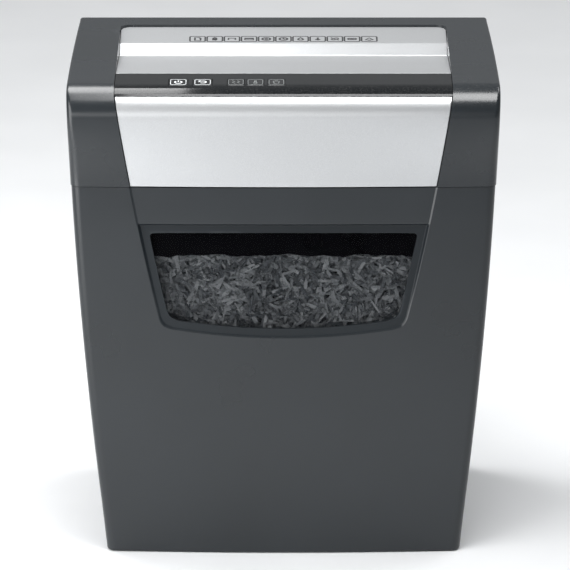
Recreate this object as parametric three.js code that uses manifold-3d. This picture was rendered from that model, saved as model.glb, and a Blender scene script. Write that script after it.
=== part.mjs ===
// Cross-cut paper shredder: a tapered waste bin with a lift-off cutting head on top.
// Millimetres, +Z up, +Y to the rear, origin at the bottom centre of the overall box.
import * as THREE from "three";
import { mergeVertices } from "three/addons/utils/BufferGeometryUtils.js";
import Module from "manifold-3d";

const wasm = await Module();
wasm.setup();

// ---- driving dimensions -------------------------------------------------------------
const WIDTH = 360; // across the shoulders of the head
const DEPTH = 250; // front of the head to its back
const HEIGHT = 407;
const SEAM_Z = 323; // lower edge of the head, where it sits on the bin
const SEAM_GAP = 0.5;
const BASE_HALF = 149.5; // half the width at the floor
const SIDE_BULGE = 5; // how far each side wall bows out between floor and shoulder
const REAR_TAPER = 3.3; // each side is this much narrower at the back
const FRONT_LEAN = 4; // the front face leans in by this much at the floor
const REAR_LEAN = 11;
const FRONT_BOW = 5; // bow of the front face seen from above
const FRONT_EDGE_R = 8;
const REAR_EDGE_R = 9;
const BROW_R = 25; // the roll from the top face to the front face
const TOP_EDGE_R = 2.5;
const WALL = 3; // head wall
const BIN_WALL = 2.5;
const BIN_STEP = 0.6; // the bin wall stands this far inside the head wall
const FIT = 0.35; // gap between neighbouring covers

// insert panels of the top face
const PANEL_HALF = 140.5;
const PANEL_REAR_Y = 97;
const PANEL_CORNER_R = 9;
const PANEL_SET = 1.2; // panels and fascia lie this far below the housing surface
const PANEL_THICK = 3;
const RAMP_TOP = [55, 401.4]; // y, z of the bright guide ramp
const RAMP_FOOT = [39.4, 394.2];
const PANEL_REAR_Z = 405;
const FRONT_LIP = [31.4, 396.3]; // front side of the paper slot
const FLANGE_FOOT_Z = 386; // both panels turn down into the slot as far as this
const STRIP_REAR_Y = -65.4;
const STRIP_SEAM_DEG = 43; // the strip meets the fascia this far round the roll

// front inset: its half width shrinks towards the floor along a gentle curve
const INSET_TOP_Z = 400;
const INSET_TOP_HALF = 140.3;
const INSET_SLOPE = 0.145;
const INSET_CURVE = 4350;
const APRON_SET = 1.0; // the centre band of the bin lies this far below the arms
const POCKET_TOP_Z = 291;
const POCKET_FOOT_Z = 191.7;
const POCKET_FOOT_RISE = 8; // the curved foot is this much higher at its ends
const POCKET_FOOT_HALF = 97;
const POCKET_FLOOR_Y = -118.4; // at the pocket's top
const POCKET_FOOT_DEPTH = 1.1; // the floor comes up to this far below the face at the foot
const POCKET_WALL_RUN = 1.9; // slanted pocket wall, measured along the face
const WINDOW_TOP_Z = 282.3;
const WINDOW_BORDER = 8;
const WINDOW_CORNER_R = 4.5;

// cutting unit
const SHAFT_Z = 360;
const SHAFT_SPACING = 30;
const NIP_Y = 35.4;
const DISC_R = 17;
const CORE_R = 11;
const DISC_PITCH = 18;
const DISC_WIDTH = 8.2;
const DISC_COUNT = 12;
const JOURNAL_R = 7;
const PLATE_X = 117; // centre plane of each steel side plate
const PLATE_THICK = 2;
const GEAR_BORE_CLEARANCE = 0.3;
const AXLE_R = 3;

// ---- colours --------------------------------------------------------------------------
function finish(color, roughness, metalness = 0) {
  return new THREE.MeshStandardMaterial({ color, roughness, metalness });
}
const charcoal = finish(0x3d4042, 0.3);
const binCharcoal = finish(0x3a3d3f, 0.32);
const silver = finish(0xc8cacb, 0.35, 0.4);
const brightSilver = finish(0xd8dadb, 0.3, 0.5);
const pianoBlack = finish(0x1c1f21, 0.1);
const smoked = finish(0x2b2e30, 0.1);
const steel = finish(0x9a9c9e, 0.35, 1);
const darkSteel = finish(0x5c5f61, 0.4, 1);
const nylon = finish(0xdcdad0, 0.5);
const blackNylon = finish(0x1b1b1c, 0.6);
const boardGreen = finish(0x1f5a3a, 0.5);
const bronze = finish(0xa8834a, 0.4, 1);
const paperGrey = finish(0x6d7072, 0.9);

// ---- solids ---------------------------------------------------------------------------
function toSolid(geometry) {
  const plain = geometry.index ? geometry.clone() : geometry;
  plain.deleteAttribute("normal");
  plain.deleteAttribute("uv");
  const merged = mergeVertices(plain, 1e-4);
  return new wasm.Manifold(
    new wasm.Mesh({
      numProp: 3,
      vertProperties: new Float32Array(merged.attributes.position.array),
      triVerts: new Uint32Array(merged.index.array),
    }),
  );
}

function toGeometry(solid) {
  const mesh = solid.getMesh();
  const geometry = new THREE.BufferGeometry();
  geometry.setAttribute("position", new THREE.BufferAttribute(mesh.vertProperties, 3));
  geometry.setIndex(new THREE.BufferAttribute(mesh.triVerts, 1));
  geometry.computeVertexNormals();
  return geometry;
}

const joined = (...solids) => solids.reduce((sum, next) => sum.add(next));
const cut = (solid, ...tools) => tools.reduce((left, tool) => left.subtract(tool), solid);
const common = (...solids) => solids.reduce((left, next) => left.intersect(next));

function box(low, high) {
  const size = high.map((value, axis) => value - low[axis]);
  const geometry = new THREE.BoxGeometry(...size);
  geometry.translate(...low.map((value, axis) => value + size[axis] / 2));
  return toSolid(geometry);
}

const X_AXIS = new THREE.Vector3(1, 0, 0);
const Y_AXIS = new THREE.Vector3(0, 1, 0);
const Z_AXIS = new THREE.Vector3(0, 0, 1);

// An outline of [y, z] points made into a bar along X.
function barAlongX(outline, x0, x1) {
  const shape = new THREE.Shape(outline.map(([y, z]) => new THREE.Vector2(y, z)));
  const geometry = new THREE.ExtrudeGeometry(shape, { depth: x1 - x0, bevelEnabled: false });
  geometry.applyMatrix4(new THREE.Matrix4().makeBasis(Y_AXIS, Z_AXIS, X_AXIS));
  geometry.translate(x0, 0, 0);
  return toSolid(geometry);
}

// Closed rings of [x, y, z] points, one after another, joined into one body.
function loft(rings) {
  const count = rings[0].length;
  const points = rings.flat();
  const index = [];
  for (let ring = 0; ring < rings.length - 1; ring += 1) {
    for (let side = 0; side < count; side += 1) {
      const a = ring * count + side;
      const b = ring * count + ((side + 1) % count);
      index.push(a, b, b + count, a, b + count, a + count);
    }
  }
  for (const [ring, facesBack] of [[0, true], [rings.length - 1, false]]) {
    const centre = points.length;
    const corners = rings[ring];
    points.push([0, 1, 2].map((axis) => corners.reduce((sum, p) => sum + p[axis], 0) / count));
    for (let side = 0; side < count; side += 1) {
      const a = ring * count + side;
      const b = ring * count + ((side + 1) % count);
      index.push(...(facesBack ? [centre, b, a] : [centre, a, b]));
    }
  }
  const geometry = new THREE.BufferGeometry();
  geometry.setAttribute("position", new THREE.Float32BufferAttribute(points.flat(), 3));
  geometry.setIndex(index);
  return toSolid(geometry);
}

// A turned part: [radius, x] points from axis to axis, or a closed ring of them.
function turnedAlongX(profile, y, z, segments = 24) {
  const outline = profile.map(([radius, x]) => new THREE.Vector2(radius, x));
  const geometry = new THREE.LatheGeometry(outline, segments);
  geometry.applyMatrix4(new THREE.Matrix4().makeBasis(Y_AXIS, X_AXIS, Z_AXIS.clone().negate()));
  geometry.translate(0, y, z);
  return toSolid(geometry);
}

function rodAlongX(radius, x0, x1, y, z, segments = 24) {
  return turnedAlongX([[0, x0], [radius, x0], [radius, x1], [0, x1]], y, z, segments);
}

function ringAlongX(inner, outer, x0, x1, y, z, segments = 24) {
  return cut(rodAlongX(outer, x0, x1, y, z, segments), rodAlongX(inner, x0 - 1, x1 + 1, y, z, segments));
}

function rodAlongZ(radius, z0, z1, x, y, segments = 16) {
  const geometry = new THREE.CylinderGeometry(radius, radius, z1 - z0, segments);
  geometry.rotateX(Math.PI / 2);
  geometry.translate(x, y, (z0 + z1) / 2);
  return toSolid(geometry);
}

function rodAlongY(radius, y0, y1, x, z, segments = 20) {
  const geometry = new THREE.CylinderGeometry(radius, radius, y1 - y0, segments);
  geometry.translate(x, (y0 + y1) / 2, z);
  return toSolid(geometry);
}

// ---- the outer form --------------------------------------------------------------------
const SHOULDER_Z = 400;
const BROW_Y = -DEPTH / 2 + BROW_R;
const BROW_Z = HEIGHT - BROW_R;
const radians = THREE.MathUtils.degToRad;

function halfWidth(z) {
  const t = z / SHOULDER_Z;
  return BASE_HALF + (WIDTH / 2 - BASE_HALF) * Math.min(t, 1) + 4 * SIDE_BULGE * t * Math.max(1 - t, 0);
}

const leanAt = (z) => Math.max(0, 1 - z / 300);
const frontY = (z) => -DEPTH / 2 + FRONT_LEAN * leanAt(z);
const rearY = (z) => DEPTH / 2 - REAR_LEAN * leanAt(z);
const bowAt = (z) => FRONT_BOW * THREE.MathUtils.smoothstep(BROW_Z - z, 0, BROW_Z - SEAM_Z);

function arcPoints(cx, cy, radius, fromDeg, toDeg, steps) {
  return Array.from({ length: steps + 1 }, (_, step) => {
    const angle = radians(fromDeg + ((toDeg - fromDeg) * step) / steps);
    return [cx + radius * Math.cos(angle), cy + radius * Math.sin(angle)];
  });
}

// The plan outline at height z, drawn in by inset, anticlockwise from the left front corner.
function planRing(z, inset) {
  const half = halfWidth(z) - inset;
  const halfRear = half - REAR_TAPER;
  const front = frontY(z) + inset;
  const rear = rearY(z) - inset;
  const bow = bowAt(z);
  const frontR = Math.max(FRONT_EDGE_R - inset, 1);
  const rearR = Math.max(REAR_EDGE_R - inset, 1);
  const cornerY = front + bow + frontR;
  const frontSteps = 8;
  const sideSteps = 3;
  const bowedFront = Array.from({ length: frontSteps - 1 }, (_, step) => {
    const x = (half - frontR) * ((2 * (step + 1)) / frontSteps - 1);
    return [x, front + bow * (x / half) ** 2];
  });
  const rightSide = Array.from({ length: sideSteps }, (_, step) => {
    const t = (step + 1) / (sideSteps + 1);
    const y = cornerY + t * (rear - rearR - cornerY);
    return [half - REAR_TAPER * t * t, y];
  });
  const outline = [
    ...arcPoints(-half + frontR, cornerY, frontR, 180, 270, 3),
    ...bowedFront,
    ...arcPoints(half - frontR, cornerY, frontR, 270, 360, 3),
    ...rightSide,
    ...arcPoints(halfRear - rearR, rear - rearR, rearR, 0, 90, 3),
    ...arcPoints(-halfRear + rearR, rear - rearR, rearR, 90, 180, 3),
    ...rightSide.map(([x, y]) => [-x, y]).reverse(),
  ];
  return outline.map(([x, y]) => [x, y, z]);
}

function levels(from, to, count) {
  return Array.from({ length: count + 1 }, (_, step) => from + ((to - from) * step) / count);
}

// The side view of the head: a block whose top front edge is a wide roll.
function headSideOutline(inset, floorZ) {
  const roll = arcPoints(BROW_Y, BROW_Z, BROW_R - inset, 90, 180, 9);
  const front = -DEPTH / 2 + inset;
  const rear = DEPTH / 2 - inset;
  return [[front, floorZ], [rear, floorZ], [rear, HEIGHT - inset], ...roll];
}

function headBody(inset, floorZ = SEAM_Z) {
  const top = HEIGHT - inset;
  const edge = Math.max(TOP_EDGE_R - inset, 0.2);
  const rings = levels(floorZ, top - edge, 4).map((z) => planRing(z, inset));
  rings.push(planRing(top - edge * 0.3, inset + edge * 0.3));
  rings.push(planRing(top, inset + edge));
  const side = barAlongX(headSideOutline(inset, floorZ - 1), -WIDTH, WIDTH);
  return common(loft(rings), side);
}

// Half the width of the front inset, and its outline in [x, z] down to the given foot.
function insetHalf(z) {
  const drop = Math.max(INSET_TOP_Z - z, 0);
  return INSET_TOP_HALF - INSET_SLOPE * drop - drop ** 2 / INSET_CURVE;
}

function quadraticCorner(from, corner, to, steps) {
  return Array.from({ length: steps + 1 }, (_, step) => {
    const t = step / steps;
    return [0, 1].map((k) => (1 - t) ** 2 * from[k] + 2 * t * (1 - t) * corner[k] + t * t * to[k]);
  });
}

function pocketOutline(border, topZ, topCornerR) {
  const footZ = (x) => POCKET_FOOT_Z + border + POCKET_FOOT_RISE * (x / POCKET_FOOT_HALF) ** 2;
  const shoulder = POCKET_FOOT_Z + 17 + border;
  const side = levels(topZ - topCornerR, shoulder, 4).map((z) => [insetHalf(z) - border, z]);
  const topX = insetHalf(topZ) - border;
  const topCorner = quadraticCorner([topX - topCornerR, topZ], [topX, topZ], side[0], 3).slice(0, -1);
  const footX = POCKET_FOOT_HALF - 3 - border;
  const corner = [insetHalf(shoulder - 9) - border, footZ(footX + 8)];
  const round = quadraticCorner(side[4], corner, [footX, footZ(footX)], 4).slice(1);
  const foot = levels(footX, 0, 4).slice(1, -1).map((x) => [x, footZ(x)]);
  const right = [...topCorner, ...side, ...round, ...foot];
  return [...right, [0, footZ(0)], ...right.map(([x, z]) => [-x, z]).reverse()];
}

const atDepth = (outline, y) => outline.map(([x, z]) => [x, y, z]);

// The pocket is a scoop: deep under its top edge, and almost level with the face at its foot.
function pocketFloorY(x, z) {
  const face = frontY(z) + BIN_STEP + bowAt(z) * (x / halfWidth(z)) ** 2;
  const fall = THREE.MathUtils.smoothstep(POCKET_TOP_Z - z, 0, POCKET_TOP_Z - POCKET_FOOT_Z);
  return THREE.MathUtils.lerp(POCKET_FLOOR_Y, face + POCKET_FOOT_DEPTH, fall);
}

// A plug through the front face: the outline at the face, and a smaller one at its floor.
function frontPlug(faceOutline, floorOutline, faceY, floorY) {
  return loft([atDepth(faceOutline, faceY), atDepth(floorOutline, floorY)]);
}

function insetWedge(border, z0, z1, y0, y1) {
  const side = levels(z1, z0, 6).map((z) => [insetHalf(z) - border, z]);
  const outline = [...side, ...side.map(([x, z]) => [-x, z]).reverse()];
  return frontPlug(outline, outline, y0, y1);
}

const root = new THREE.Group();

function add(name, solid, material) {
  const mesh = new THREE.Mesh(toGeometry(solid), material);
  mesh.name = name;
  root.add(mesh);
}

// ---- bin --------------------------------------------------------------------------------
const BIN_TOP_Z = SEAM_Z - SEAM_GAP;
const BIN_FLOOR = 3;
const BIN_FOOT_EDGE = 1.5; // broken edge round the bin's foot
const BIN_RIM_EDGE = 0.8;
const PANE_THICK = 2;
const PANE_LAP = 3; // how far the pane reaches behind the window's edge
const SILL_REAR_Y = -115.5;
const PANE_Y = SILL_REAR_Y + 0.3;

function binShell() {
  const outer = loft([
    planRing(0, BIN_FOOT_EDGE),
    ...[BIN_FOOT_EDGE, ...levels(40, BIN_TOP_Z - 1, 7)].map((z) => {
      return planRing(z, BIN_STEP * Math.min(1, z / 40));
    }),
    planRing(BIN_TOP_Z, BIN_STEP + BIN_RIM_EDGE),
  ]);
  const hollow = loft(levels(BIN_FLOOR, BIN_TOP_Z + 1, 8).map((z) => planRing(z, BIN_STEP + BIN_WALL)));
  const backing = frontPlug(
    pocketOutline(-2, POCKET_TOP_Z + 3, 2),
    pocketOutline(-2, POCKET_TOP_Z + 3, 2),
    -DEPTH,
    SILL_REAR_Y,
  );
  const rim = pocketOutline(0, POCKET_TOP_Z, 1);
  const floorEdge = pocketOutline(POCKET_WALL_RUN, POCKET_TOP_Z - POCKET_WALL_RUN, 1);
  const recess = loft([
    atDepth(rim, -DEPTH / 2 - 2),
    rim.map(([x, z]) => [x, pocketFloorY(x, z) - POCKET_FOOT_DEPTH, z]),
    floorEdge.map(([x, z]) => [x, pocketFloorY(x, z), z]),
  ]);
  const opening = pocketOutline(WINDOW_BORDER, WINDOW_TOP_Z, WINDOW_CORNER_R);
  const apronFace = cut(
    insetWedge(0, POCKET_TOP_Z - 2, BIN_TOP_Z + 5, -DEPTH, -DEPTH / 2 + 10),
    loft(levels(POCKET_TOP_Z - 5, BIN_TOP_Z + 8, 4).map((z) => planRing(z, BIN_STEP + APRON_SET))),
  );
  const walled = joined(cut(outer, hollow), common(backing, outer));
  return cut(walled, recess, frontPlug(opening, opening, -DEPTH, 0), apronFace);
}

function windowPane() {
  const border = WINDOW_BORDER - PANE_LAP;
  const outline = pocketOutline(border, WINDOW_TOP_Z + PANE_LAP, WINDOW_CORNER_R);
  return frontPlug(outline, outline, PANE_Y, PANE_Y + PANE_THICK);
}

// Loose shreds: a sloping heap, hollow underneath so that it weighs what real shreds weigh.
const HEAP_FRONT_Y = -112.4;
const HEAP_FRONT_Z = 256;
const HEAP_REAR_Z = 172;
const HEAP_CRUST = 16;
const HEAP_SIDE_GAP = 5; // from the bin's outer face to the heap

function heapBlock(inset, drop, floorZ) {
  const column = loft(levels(floorZ, 300, 6).map((z) => planRing(z, inset)));
  const outline = [
    [HEAP_FRONT_Y + drop, floorZ - 1],
    [DEPTH, floorZ - 1],
    [DEPTH, HEAP_REAR_Z - drop],
    [rearY(200), HEAP_REAR_Z - drop],
    [HEAP_FRONT_Y + drop, HEAP_FRONT_Z - drop],
  ];
  return common(column, barAlongX(outline, -WIDTH, WIDTH));
}

function shredHeap() {
  return cut(
    heapBlock(HEAP_SIDE_GAP, 0, BIN_FLOOR + 0.4),
    heapBlock(HEAP_SIDE_GAP + HEAP_CRUST, HEAP_CRUST, BIN_FLOOR - 1),
  );
}

add("bin_shell", binShell(), binCharcoal);
add("window_pane", windowPane(), smoked);
add("shred_heap", shredHeap(), paperGrey);

// ---- head covers -------------------------------------------------------------------------
const BASE_PLATE_Z = [325, 328];
const BOSS_PLACES = [[-158, 102], [158, 102], [-158, -84], [158, -84]];
const BOSS_R = 5;
const BOSS_BORE_R = 2;
const SCREW_R = 1.6;
const SCREW_HEAD_R = 4;
const VENT_COUNT = 9;
const VENT_PITCH = 9;
const VENT_X = 10;
const VENT_HALF = 2;
const VENT_Z = [340, 372];
const SWITCH_X = 112; // mains switch on the back
const SWITCH_Z = 352;
const SWITCH_HALF = [10, 7]; // half its width and height
const REAR_CUT = [DEPTH / 2 - 8, DEPTH / 2 + 1]; // how far openings reach through the back wall
const GLAND_X = -120;
const GLAND_Z = 345;
const GLAND_R = 6.5;
const STRIP_FRONT_Y = BROW_Y - BROW_R * Math.sin(radians(STRIP_SEAM_DEG));

function topOpening() {
  const r = PANEL_CORNER_R;
  const outline = [
    [-PANEL_HALF, STRIP_FRONT_Y - FIT],
    [PANEL_HALF, STRIP_FRONT_Y - FIT],
    ...arcPoints(PANEL_HALF - r, PANEL_REAR_Y - r, r, 0, 90, 4),
    ...arcPoints(-PANEL_HALF + r, PANEL_REAR_Y - r, r, 90, 180, 4),
  ];
  return loft([HEIGHT - 20, HEIGHT + 5].map((z) => outline.map(([x, y]) => [x, y, z])));
}

function headHousing() {
  const shell = cut(headBody(0), headBody(WALL, SEAM_Z - 1));
  const frontOpening = joined(
    insetWedge(0, SEAM_Z - 2, INSET_TOP_Z, -DEPTH, BROW_Y + 5),
    box([-INSET_TOP_HALF, -DEPTH, INSET_TOP_Z - 1], [INSET_TOP_HALF, BROW_Y, HEIGHT + 5]),
  );
  const bosses = BOSS_PLACES.map(([x, y]) =>
    cut(
      rodAlongZ(BOSS_R, BASE_PLATE_Z[1] + 0.3, HEIGHT - 2, x, y),
      rodAlongZ(BOSS_BORE_R, BASE_PLATE_Z[1] - 1, BASE_PLATE_Z[1] + 24, x, y),
    ),
  );
  const vents = Array.from({ length: VENT_COUNT }, (_, slot) => {
    const x = VENT_X + (slot - (VENT_COUNT - 1) / 2) * VENT_PITCH;
    return box([x - VENT_HALF, REAR_CUT[0], VENT_Z[0]], [x + VENT_HALF, REAR_CUT[1], VENT_Z[1]]);
  });
  return cut(
    joined(shell, ...bosses),
    topOpening(),
    frontOpening,
    ...vents,
    box(
      [SWITCH_X - SWITCH_HALF[0] - 0.3, REAR_CUT[0], SWITCH_Z - SWITCH_HALF[1] - 0.3],
      [SWITCH_X + SWITCH_HALF[0] + 0.3, REAR_CUT[1], SWITCH_Z + SWITCH_HALF[1] + 0.3],
    ),
    rodAlongY(GLAND_R + 0.3, ...REAR_CUT, GLAND_X, GLAND_Z),
  );
}

function roundedRearMask(half) {
  const r = PANEL_CORNER_R - FIT;
  const rear = PANEL_REAR_Y - FIT;
  const outline = [
    [-half, 0],
    [half, 0],
    ...arcPoints(half - r, rear - r, r, 0, 90, 4),
    ...arcPoints(-half + r, rear - r, r, 90, 180, 4),
  ];
  return loft([BROW_Z - 5, HEIGHT].map((z) => outline.map(([x, y]) => [x, y, z])));
}

function rearPanel() {
  const t = PANEL_THICK;
  const outline = [
    [RAMP_FOOT[0], FLANGE_FOOT_Z],
    [RAMP_FOOT[0] + t, FLANGE_FOOT_Z],
    [RAMP_FOOT[0] + t, RAMP_FOOT[1] - t + 1],
    [RAMP_TOP[0] + 1, RAMP_TOP[1] - t],
    [PANEL_REAR_Y, PANEL_REAR_Z - t],
    [PANEL_REAR_Y, PANEL_REAR_Z],
    RAMP_TOP,
    RAMP_FOOT,
  ];
  const half = PANEL_HALF - FIT;
  return common(barAlongX(outline, -half, half), roundedRearMask(half));
}

// A paper feeler hangs in the middle of the front lip, on a pin between two ears.
const FEELER_PIN = [24, 389]; // y, z
const FEELER_SLOT_HALF = 4.2;
const FEELER_HALF = 3;
const FEELER_PIN_R = 1.3;
const EAR_Y = [20, 28.6];
const EAR_TOP_Z = 395;

function frontPanel() {
  const t = PANEL_THICK;
  const crest = HEIGHT - PANEL_SET;
  const outline = [
    [STRIP_REAR_Y + FIT, crest - t],
    [FRONT_LIP[0] - t, FRONT_LIP[1] - t - 0.5],
    [FRONT_LIP[0] - t, FLANGE_FOOT_Z],
    [FRONT_LIP[0], FLANGE_FOOT_Z],
    FRONT_LIP,
    [STRIP_REAR_Y + FIT, crest],
  ];
  const half = PANEL_HALF - FIT;
  const ears = [-1, 1].map((side) => {
    const near = side * (FEELER_SLOT_HALF + 0.8);
    const far = side * (FEELER_SLOT_HALF + 3);
    const ear = box(
      [Math.min(near, far), EAR_Y[0], FLANGE_FOOT_Z],
      [Math.max(near, far), EAR_Y[1], EAR_TOP_Z],
    );
    return cut(ear, rodAlongX(FEELER_PIN_R + 0.3, -20, 20, ...FEELER_PIN, 16));
  });
  const notch = box([-FEELER_SLOT_HALF, 26, 380], [FEELER_SLOT_HALF, 34, 393.5]);
  return cut(joined(barAlongX(outline, -half, half), ...ears), notch);
}

// A band of the head's skin, one panel thick, just below the housing surface.
const skinBand = cut(headBody(PANEL_SET), headBody(PANEL_SET + PANEL_THICK, SEAM_Z - 1));

// Everything above or below the plane that parts the control strip from the fascia.
function rollSector(fromDeg, toDeg) {
  const reach = 80;
  const rim = arcPoints(BROW_Y, BROW_Z, reach, 90 + fromDeg, 90 + toDeg, 6);
  return barAlongX([[BROW_Y, BROW_Z], ...rim], -WIDTH, WIDTH);
}

const KEY_Y = [-103.5, -83.5]; // front and rear edge of the keys
const KEYS = [["power_key", -87.4], ["reverse_key", -67.2]];
const KEY_HALF = 8;
const LENSES = [["jam_lens", -39.5], ["heat_lens", -23.3], ["bin_lens", -5.8]];
const LENS_HALF = 7;
const KEY_GAP = 0.3;

const keyBlock = (x, half, grow, floorZ) =>
  box([x - half - grow, KEY_Y[0] - grow, floorZ], [x + half + grow, KEY_Y[1] + grow, HEIGHT + 2]);

function controlStrip() {
  const half = PANEL_HALF - FIT;
  const flat = box([-half, BROW_Y - 0.01, BROW_Z], [half, STRIP_REAR_Y, HEIGHT + 1]);
  const rolled = common(rollSector(0, STRIP_SEAM_DEG - 0.6), box([-half, -DEPTH, BROW_Z], [half, 0, HEIGHT]));
  const slots = [
    ...KEYS.map(([, x]) => keyBlock(x, KEY_HALF, KEY_GAP, BROW_Z)),
    ...LENSES.map(([, x]) => keyBlock(x, LENS_HALF, KEY_GAP, BROW_Z)),
  ];
  return cut(common(skinBand, joined(flat, rolled)), ...slots);
}

function frontFascia() {
  const rolled = rollSector(STRIP_SEAM_DEG + 0.6, 100);
  const straight = box([-WIDTH, -DEPTH, SEAM_Z + 0.4], [WIDTH, -DEPTH / 2 + 12, BROW_Z]);
  const sides = insetWedge(FIT + 0.15, SEAM_Z, INSET_TOP_Z + 1, -DEPTH, BROW_Y);
  return common(skinBand, joined(rolled, straight), sides);
}

// The tray that closes the head from below; its skirt locates the head in the bin, and the
// shreds fall through its opening.
const SKIRT_FOOT_Z = 314.5;
const SKIRT_GAP = 2.3; // from the bin's inner face to the skirt
const SKIRT_THICK = 2.2;
const DROP_LOW = [-113, -4];
const DROP_HIGH = [113, 75];

function headBase() {
  const [z0, z1] = BASE_PLATE_Z;
  const skirtInset = BIN_STEP + BIN_WALL + SKIRT_GAP;
  const plate = loft([z0 - 1, z1].map((z) => planRing(z, WALL + 2.4)));
  const skirtOuter = loft([SKIRT_FOOT_Z, z0].map((z) => planRing(z, skirtInset)));
  const skirtInner = loft([SKIRT_FOOT_Z - 4, z0 - 1].map((z) => planRing(z, skirtInset + SKIRT_THICK)));
  const drop = box([...DROP_LOW, SKIRT_FOOT_Z - 10], [...DROP_HIGH, z1 + 10]);
  const holes = BOSS_PLACES.map(([x, y]) => rodAlongZ(SCREW_R + 0.7, z0 - 5, z1 + 5, x, y));
  return cut(joined(plate, cut(skirtOuter, skirtInner)), drop, ...holes);
}

function baseScrew([x, y]) {
  const head = rodAlongZ(SCREW_HEAD_R, BASE_PLATE_Z[0] - 3.8, BASE_PLATE_Z[0] - 1.3, x, y);
  return joined(head, rodAlongZ(SCREW_R, BASE_PLATE_Z[0] - 2, BASE_PLATE_Z[1] + 18, x, y, 12));
}

add("head_housing", headHousing(), charcoal);
add("rear_panel", rearPanel(), silver);
add("front_panel", frontPanel(), silver);
add("control_strip", controlStrip(), pianoBlack);
add("front_fascia", frontFascia(), brightSilver);
add("head_base", headBase(), blackNylon);
BOSS_PLACES.forEach((place, item) => add(`base_screw_${item + 1}`, baseScrew(place), darkSteel));
for (const [name, x] of KEYS) {
  add(name, common(headBody(PANEL_SET), keyBlock(x, KEY_HALF, 0, HEIGHT - 11)), pianoBlack);
}
for (const [name, x] of LENSES) {
  add(name, common(headBody(PANEL_SET), keyBlock(x, LENS_HALF, 0, HEIGHT - 7)), smoked);
}

// ---- cutting unit ---------------------------------------------------------------------------
const FRONT_SHAFT = [NIP_Y - SHAFT_SPACING / 2, SHAFT_Z]; // y, z
const REAR_SHAFT = [NIP_Y + SHAFT_SPACING / 2, SHAFT_Z];
const PLATE_FACE = PLATE_X + PLATE_THICK / 2;
const BUSH_HALF = 3;

// gear planes outside the right side plate, each [x0, x1]
const GEAR_PLANES = [[122, 130], [132, 138], [140, 146]];
const SYNC_PLANE = [-130, -122];
const COVER_PLANE = [149, 151];

const fromCentre = ([y, z], distance, degrees) => [
  y + distance * Math.cos(radians(degrees)),
  z + distance * Math.sin(radians(degrees)),
];

// Two-stage idlers between the motor pinion and the wheel on the front shaft.
const FINAL = { teeth: 34, module: 1.5 };
const IDLER_2_PINION = { teeth: 10, module: 1.5 };
const IDLER_2_WHEEL = { teeth: 28, module: 1.25 };
const IDLER_1_PINION = { teeth: 10, module: 1.25 };
const IDLER_1_WHEEL = { teeth: 36, module: 1 };
const MOTOR_PINION = { teeth: 10, module: 1 };
const SYNC = { teeth: 20, module: 1.5 };
const spacing = (a, b) => ((a.teeth + b.teeth) * a.module) / 2;

const TRAIN_ANGLES = [170, 215, 160]; // front shaft to idler 2, to idler 1, to motor
const IDLER_2 = fromCentre(FRONT_SHAFT, spacing(FINAL, IDLER_2_PINION), TRAIN_ANGLES[0]);
const IDLER_1 = fromCentre(IDLER_2, spacing(IDLER_2_WHEEL, IDLER_1_PINION), TRAIN_ANGLES[1]);
const MOTOR = fromCentre(IDLER_1, spacing(IDLER_1_WHEEL, MOTOR_PINION), TRAIN_ANGLES[2]);

// The angle that puts gear b's gaps over gear a's teeth, for centres that lie along the line.
function meshAngle(angleA, a, b, lineDeg) {
  return lineDeg + 180 + 180 / b.teeth - ((angleA - lineDeg) * a.teeth) / b.teeth;
}

function gear({ teeth, module }, [x0, x1], [y, z], phaseDeg, boreR) {
  const pitchR = (teeth * module) / 2;
  const tipR = pitchR + 0.8 * module;
  const rootR = pitchR - 1.15 * module;
  const tooth = 360 / teeth;
  const corners = [[-0.29, rootR], [-0.11, tipR], [0.11, tipR], [0.29, rootR]];
  const outline = Array.from({ length: teeth }, (_, count) =>
    corners.map(([share, radius]) => fromCentre([y, z], radius, phaseDeg + tooth * (count + share))),
  ).flat();
  const blank = barAlongX(outline, x0, x1);
  return boreR ? cut(blank, rodAlongX(boreR, x0 - 1, x1 + 1, y, z, 16)) : blank;
}

function cutterProfile(discs, firstX, x0, x1) {
  const rise = [[0, x0], [JOURNAL_R, x0], [JOURNAL_R, -PLATE_X + 5], [CORE_R, -PLATE_X + 5]];
  const body = Array.from({ length: discs }, (_, disc) => {
    const centre = firstX + disc * DISC_PITCH;
    const near = centre - DISC_WIDTH / 2;
    const far = centre + DISC_WIDTH / 2;
    return [[CORE_R, near], [DISC_R, near], [DISC_R, far], [CORE_R, far]];
  }).flat();
  return [...rise, ...body, [CORE_R, PLATE_X - 5], [JOURNAL_R, PLATE_X - 5], [JOURNAL_R, x1], [0, x1]];
}

const frontDiscX = (-(DISC_COUNT - 1) * DISC_PITCH) / 2;
const rearDiscX = frontDiscX + DISC_PITCH / 2;
const CUTTER_SEGMENTS = 12;

add(
  "front_cutter",
  turnedAlongX(cutterProfile(DISC_COUNT, frontDiscX, -131, 131), ...FRONT_SHAFT, CUTTER_SEGMENTS),
  steel,
);
add(
  "rear_cutter",
  turnedAlongX(cutterProfile(DISC_COUNT - 1, rearDiscX, -131, 120.5), ...REAR_SHAFT, CUTTER_SEGMENTS),
  steel,
);

const shaftBore = JOURNAL_R + 0.2;
const phases = { sync: 0, final: TRAIN_ANGLES[0] };
phases.idler2Pinion = meshAngle(phases.final, FINAL, IDLER_2_PINION, TRAIN_ANGLES[0]);
phases.idler1Pinion = meshAngle(phases.idler2Pinion, IDLER_2_WHEEL, IDLER_1_PINION, TRAIN_ANGLES[1]);
phases.motor = meshAngle(phases.idler1Pinion, IDLER_1_WHEEL, MOTOR_PINION, TRAIN_ANGLES[2]);

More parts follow.
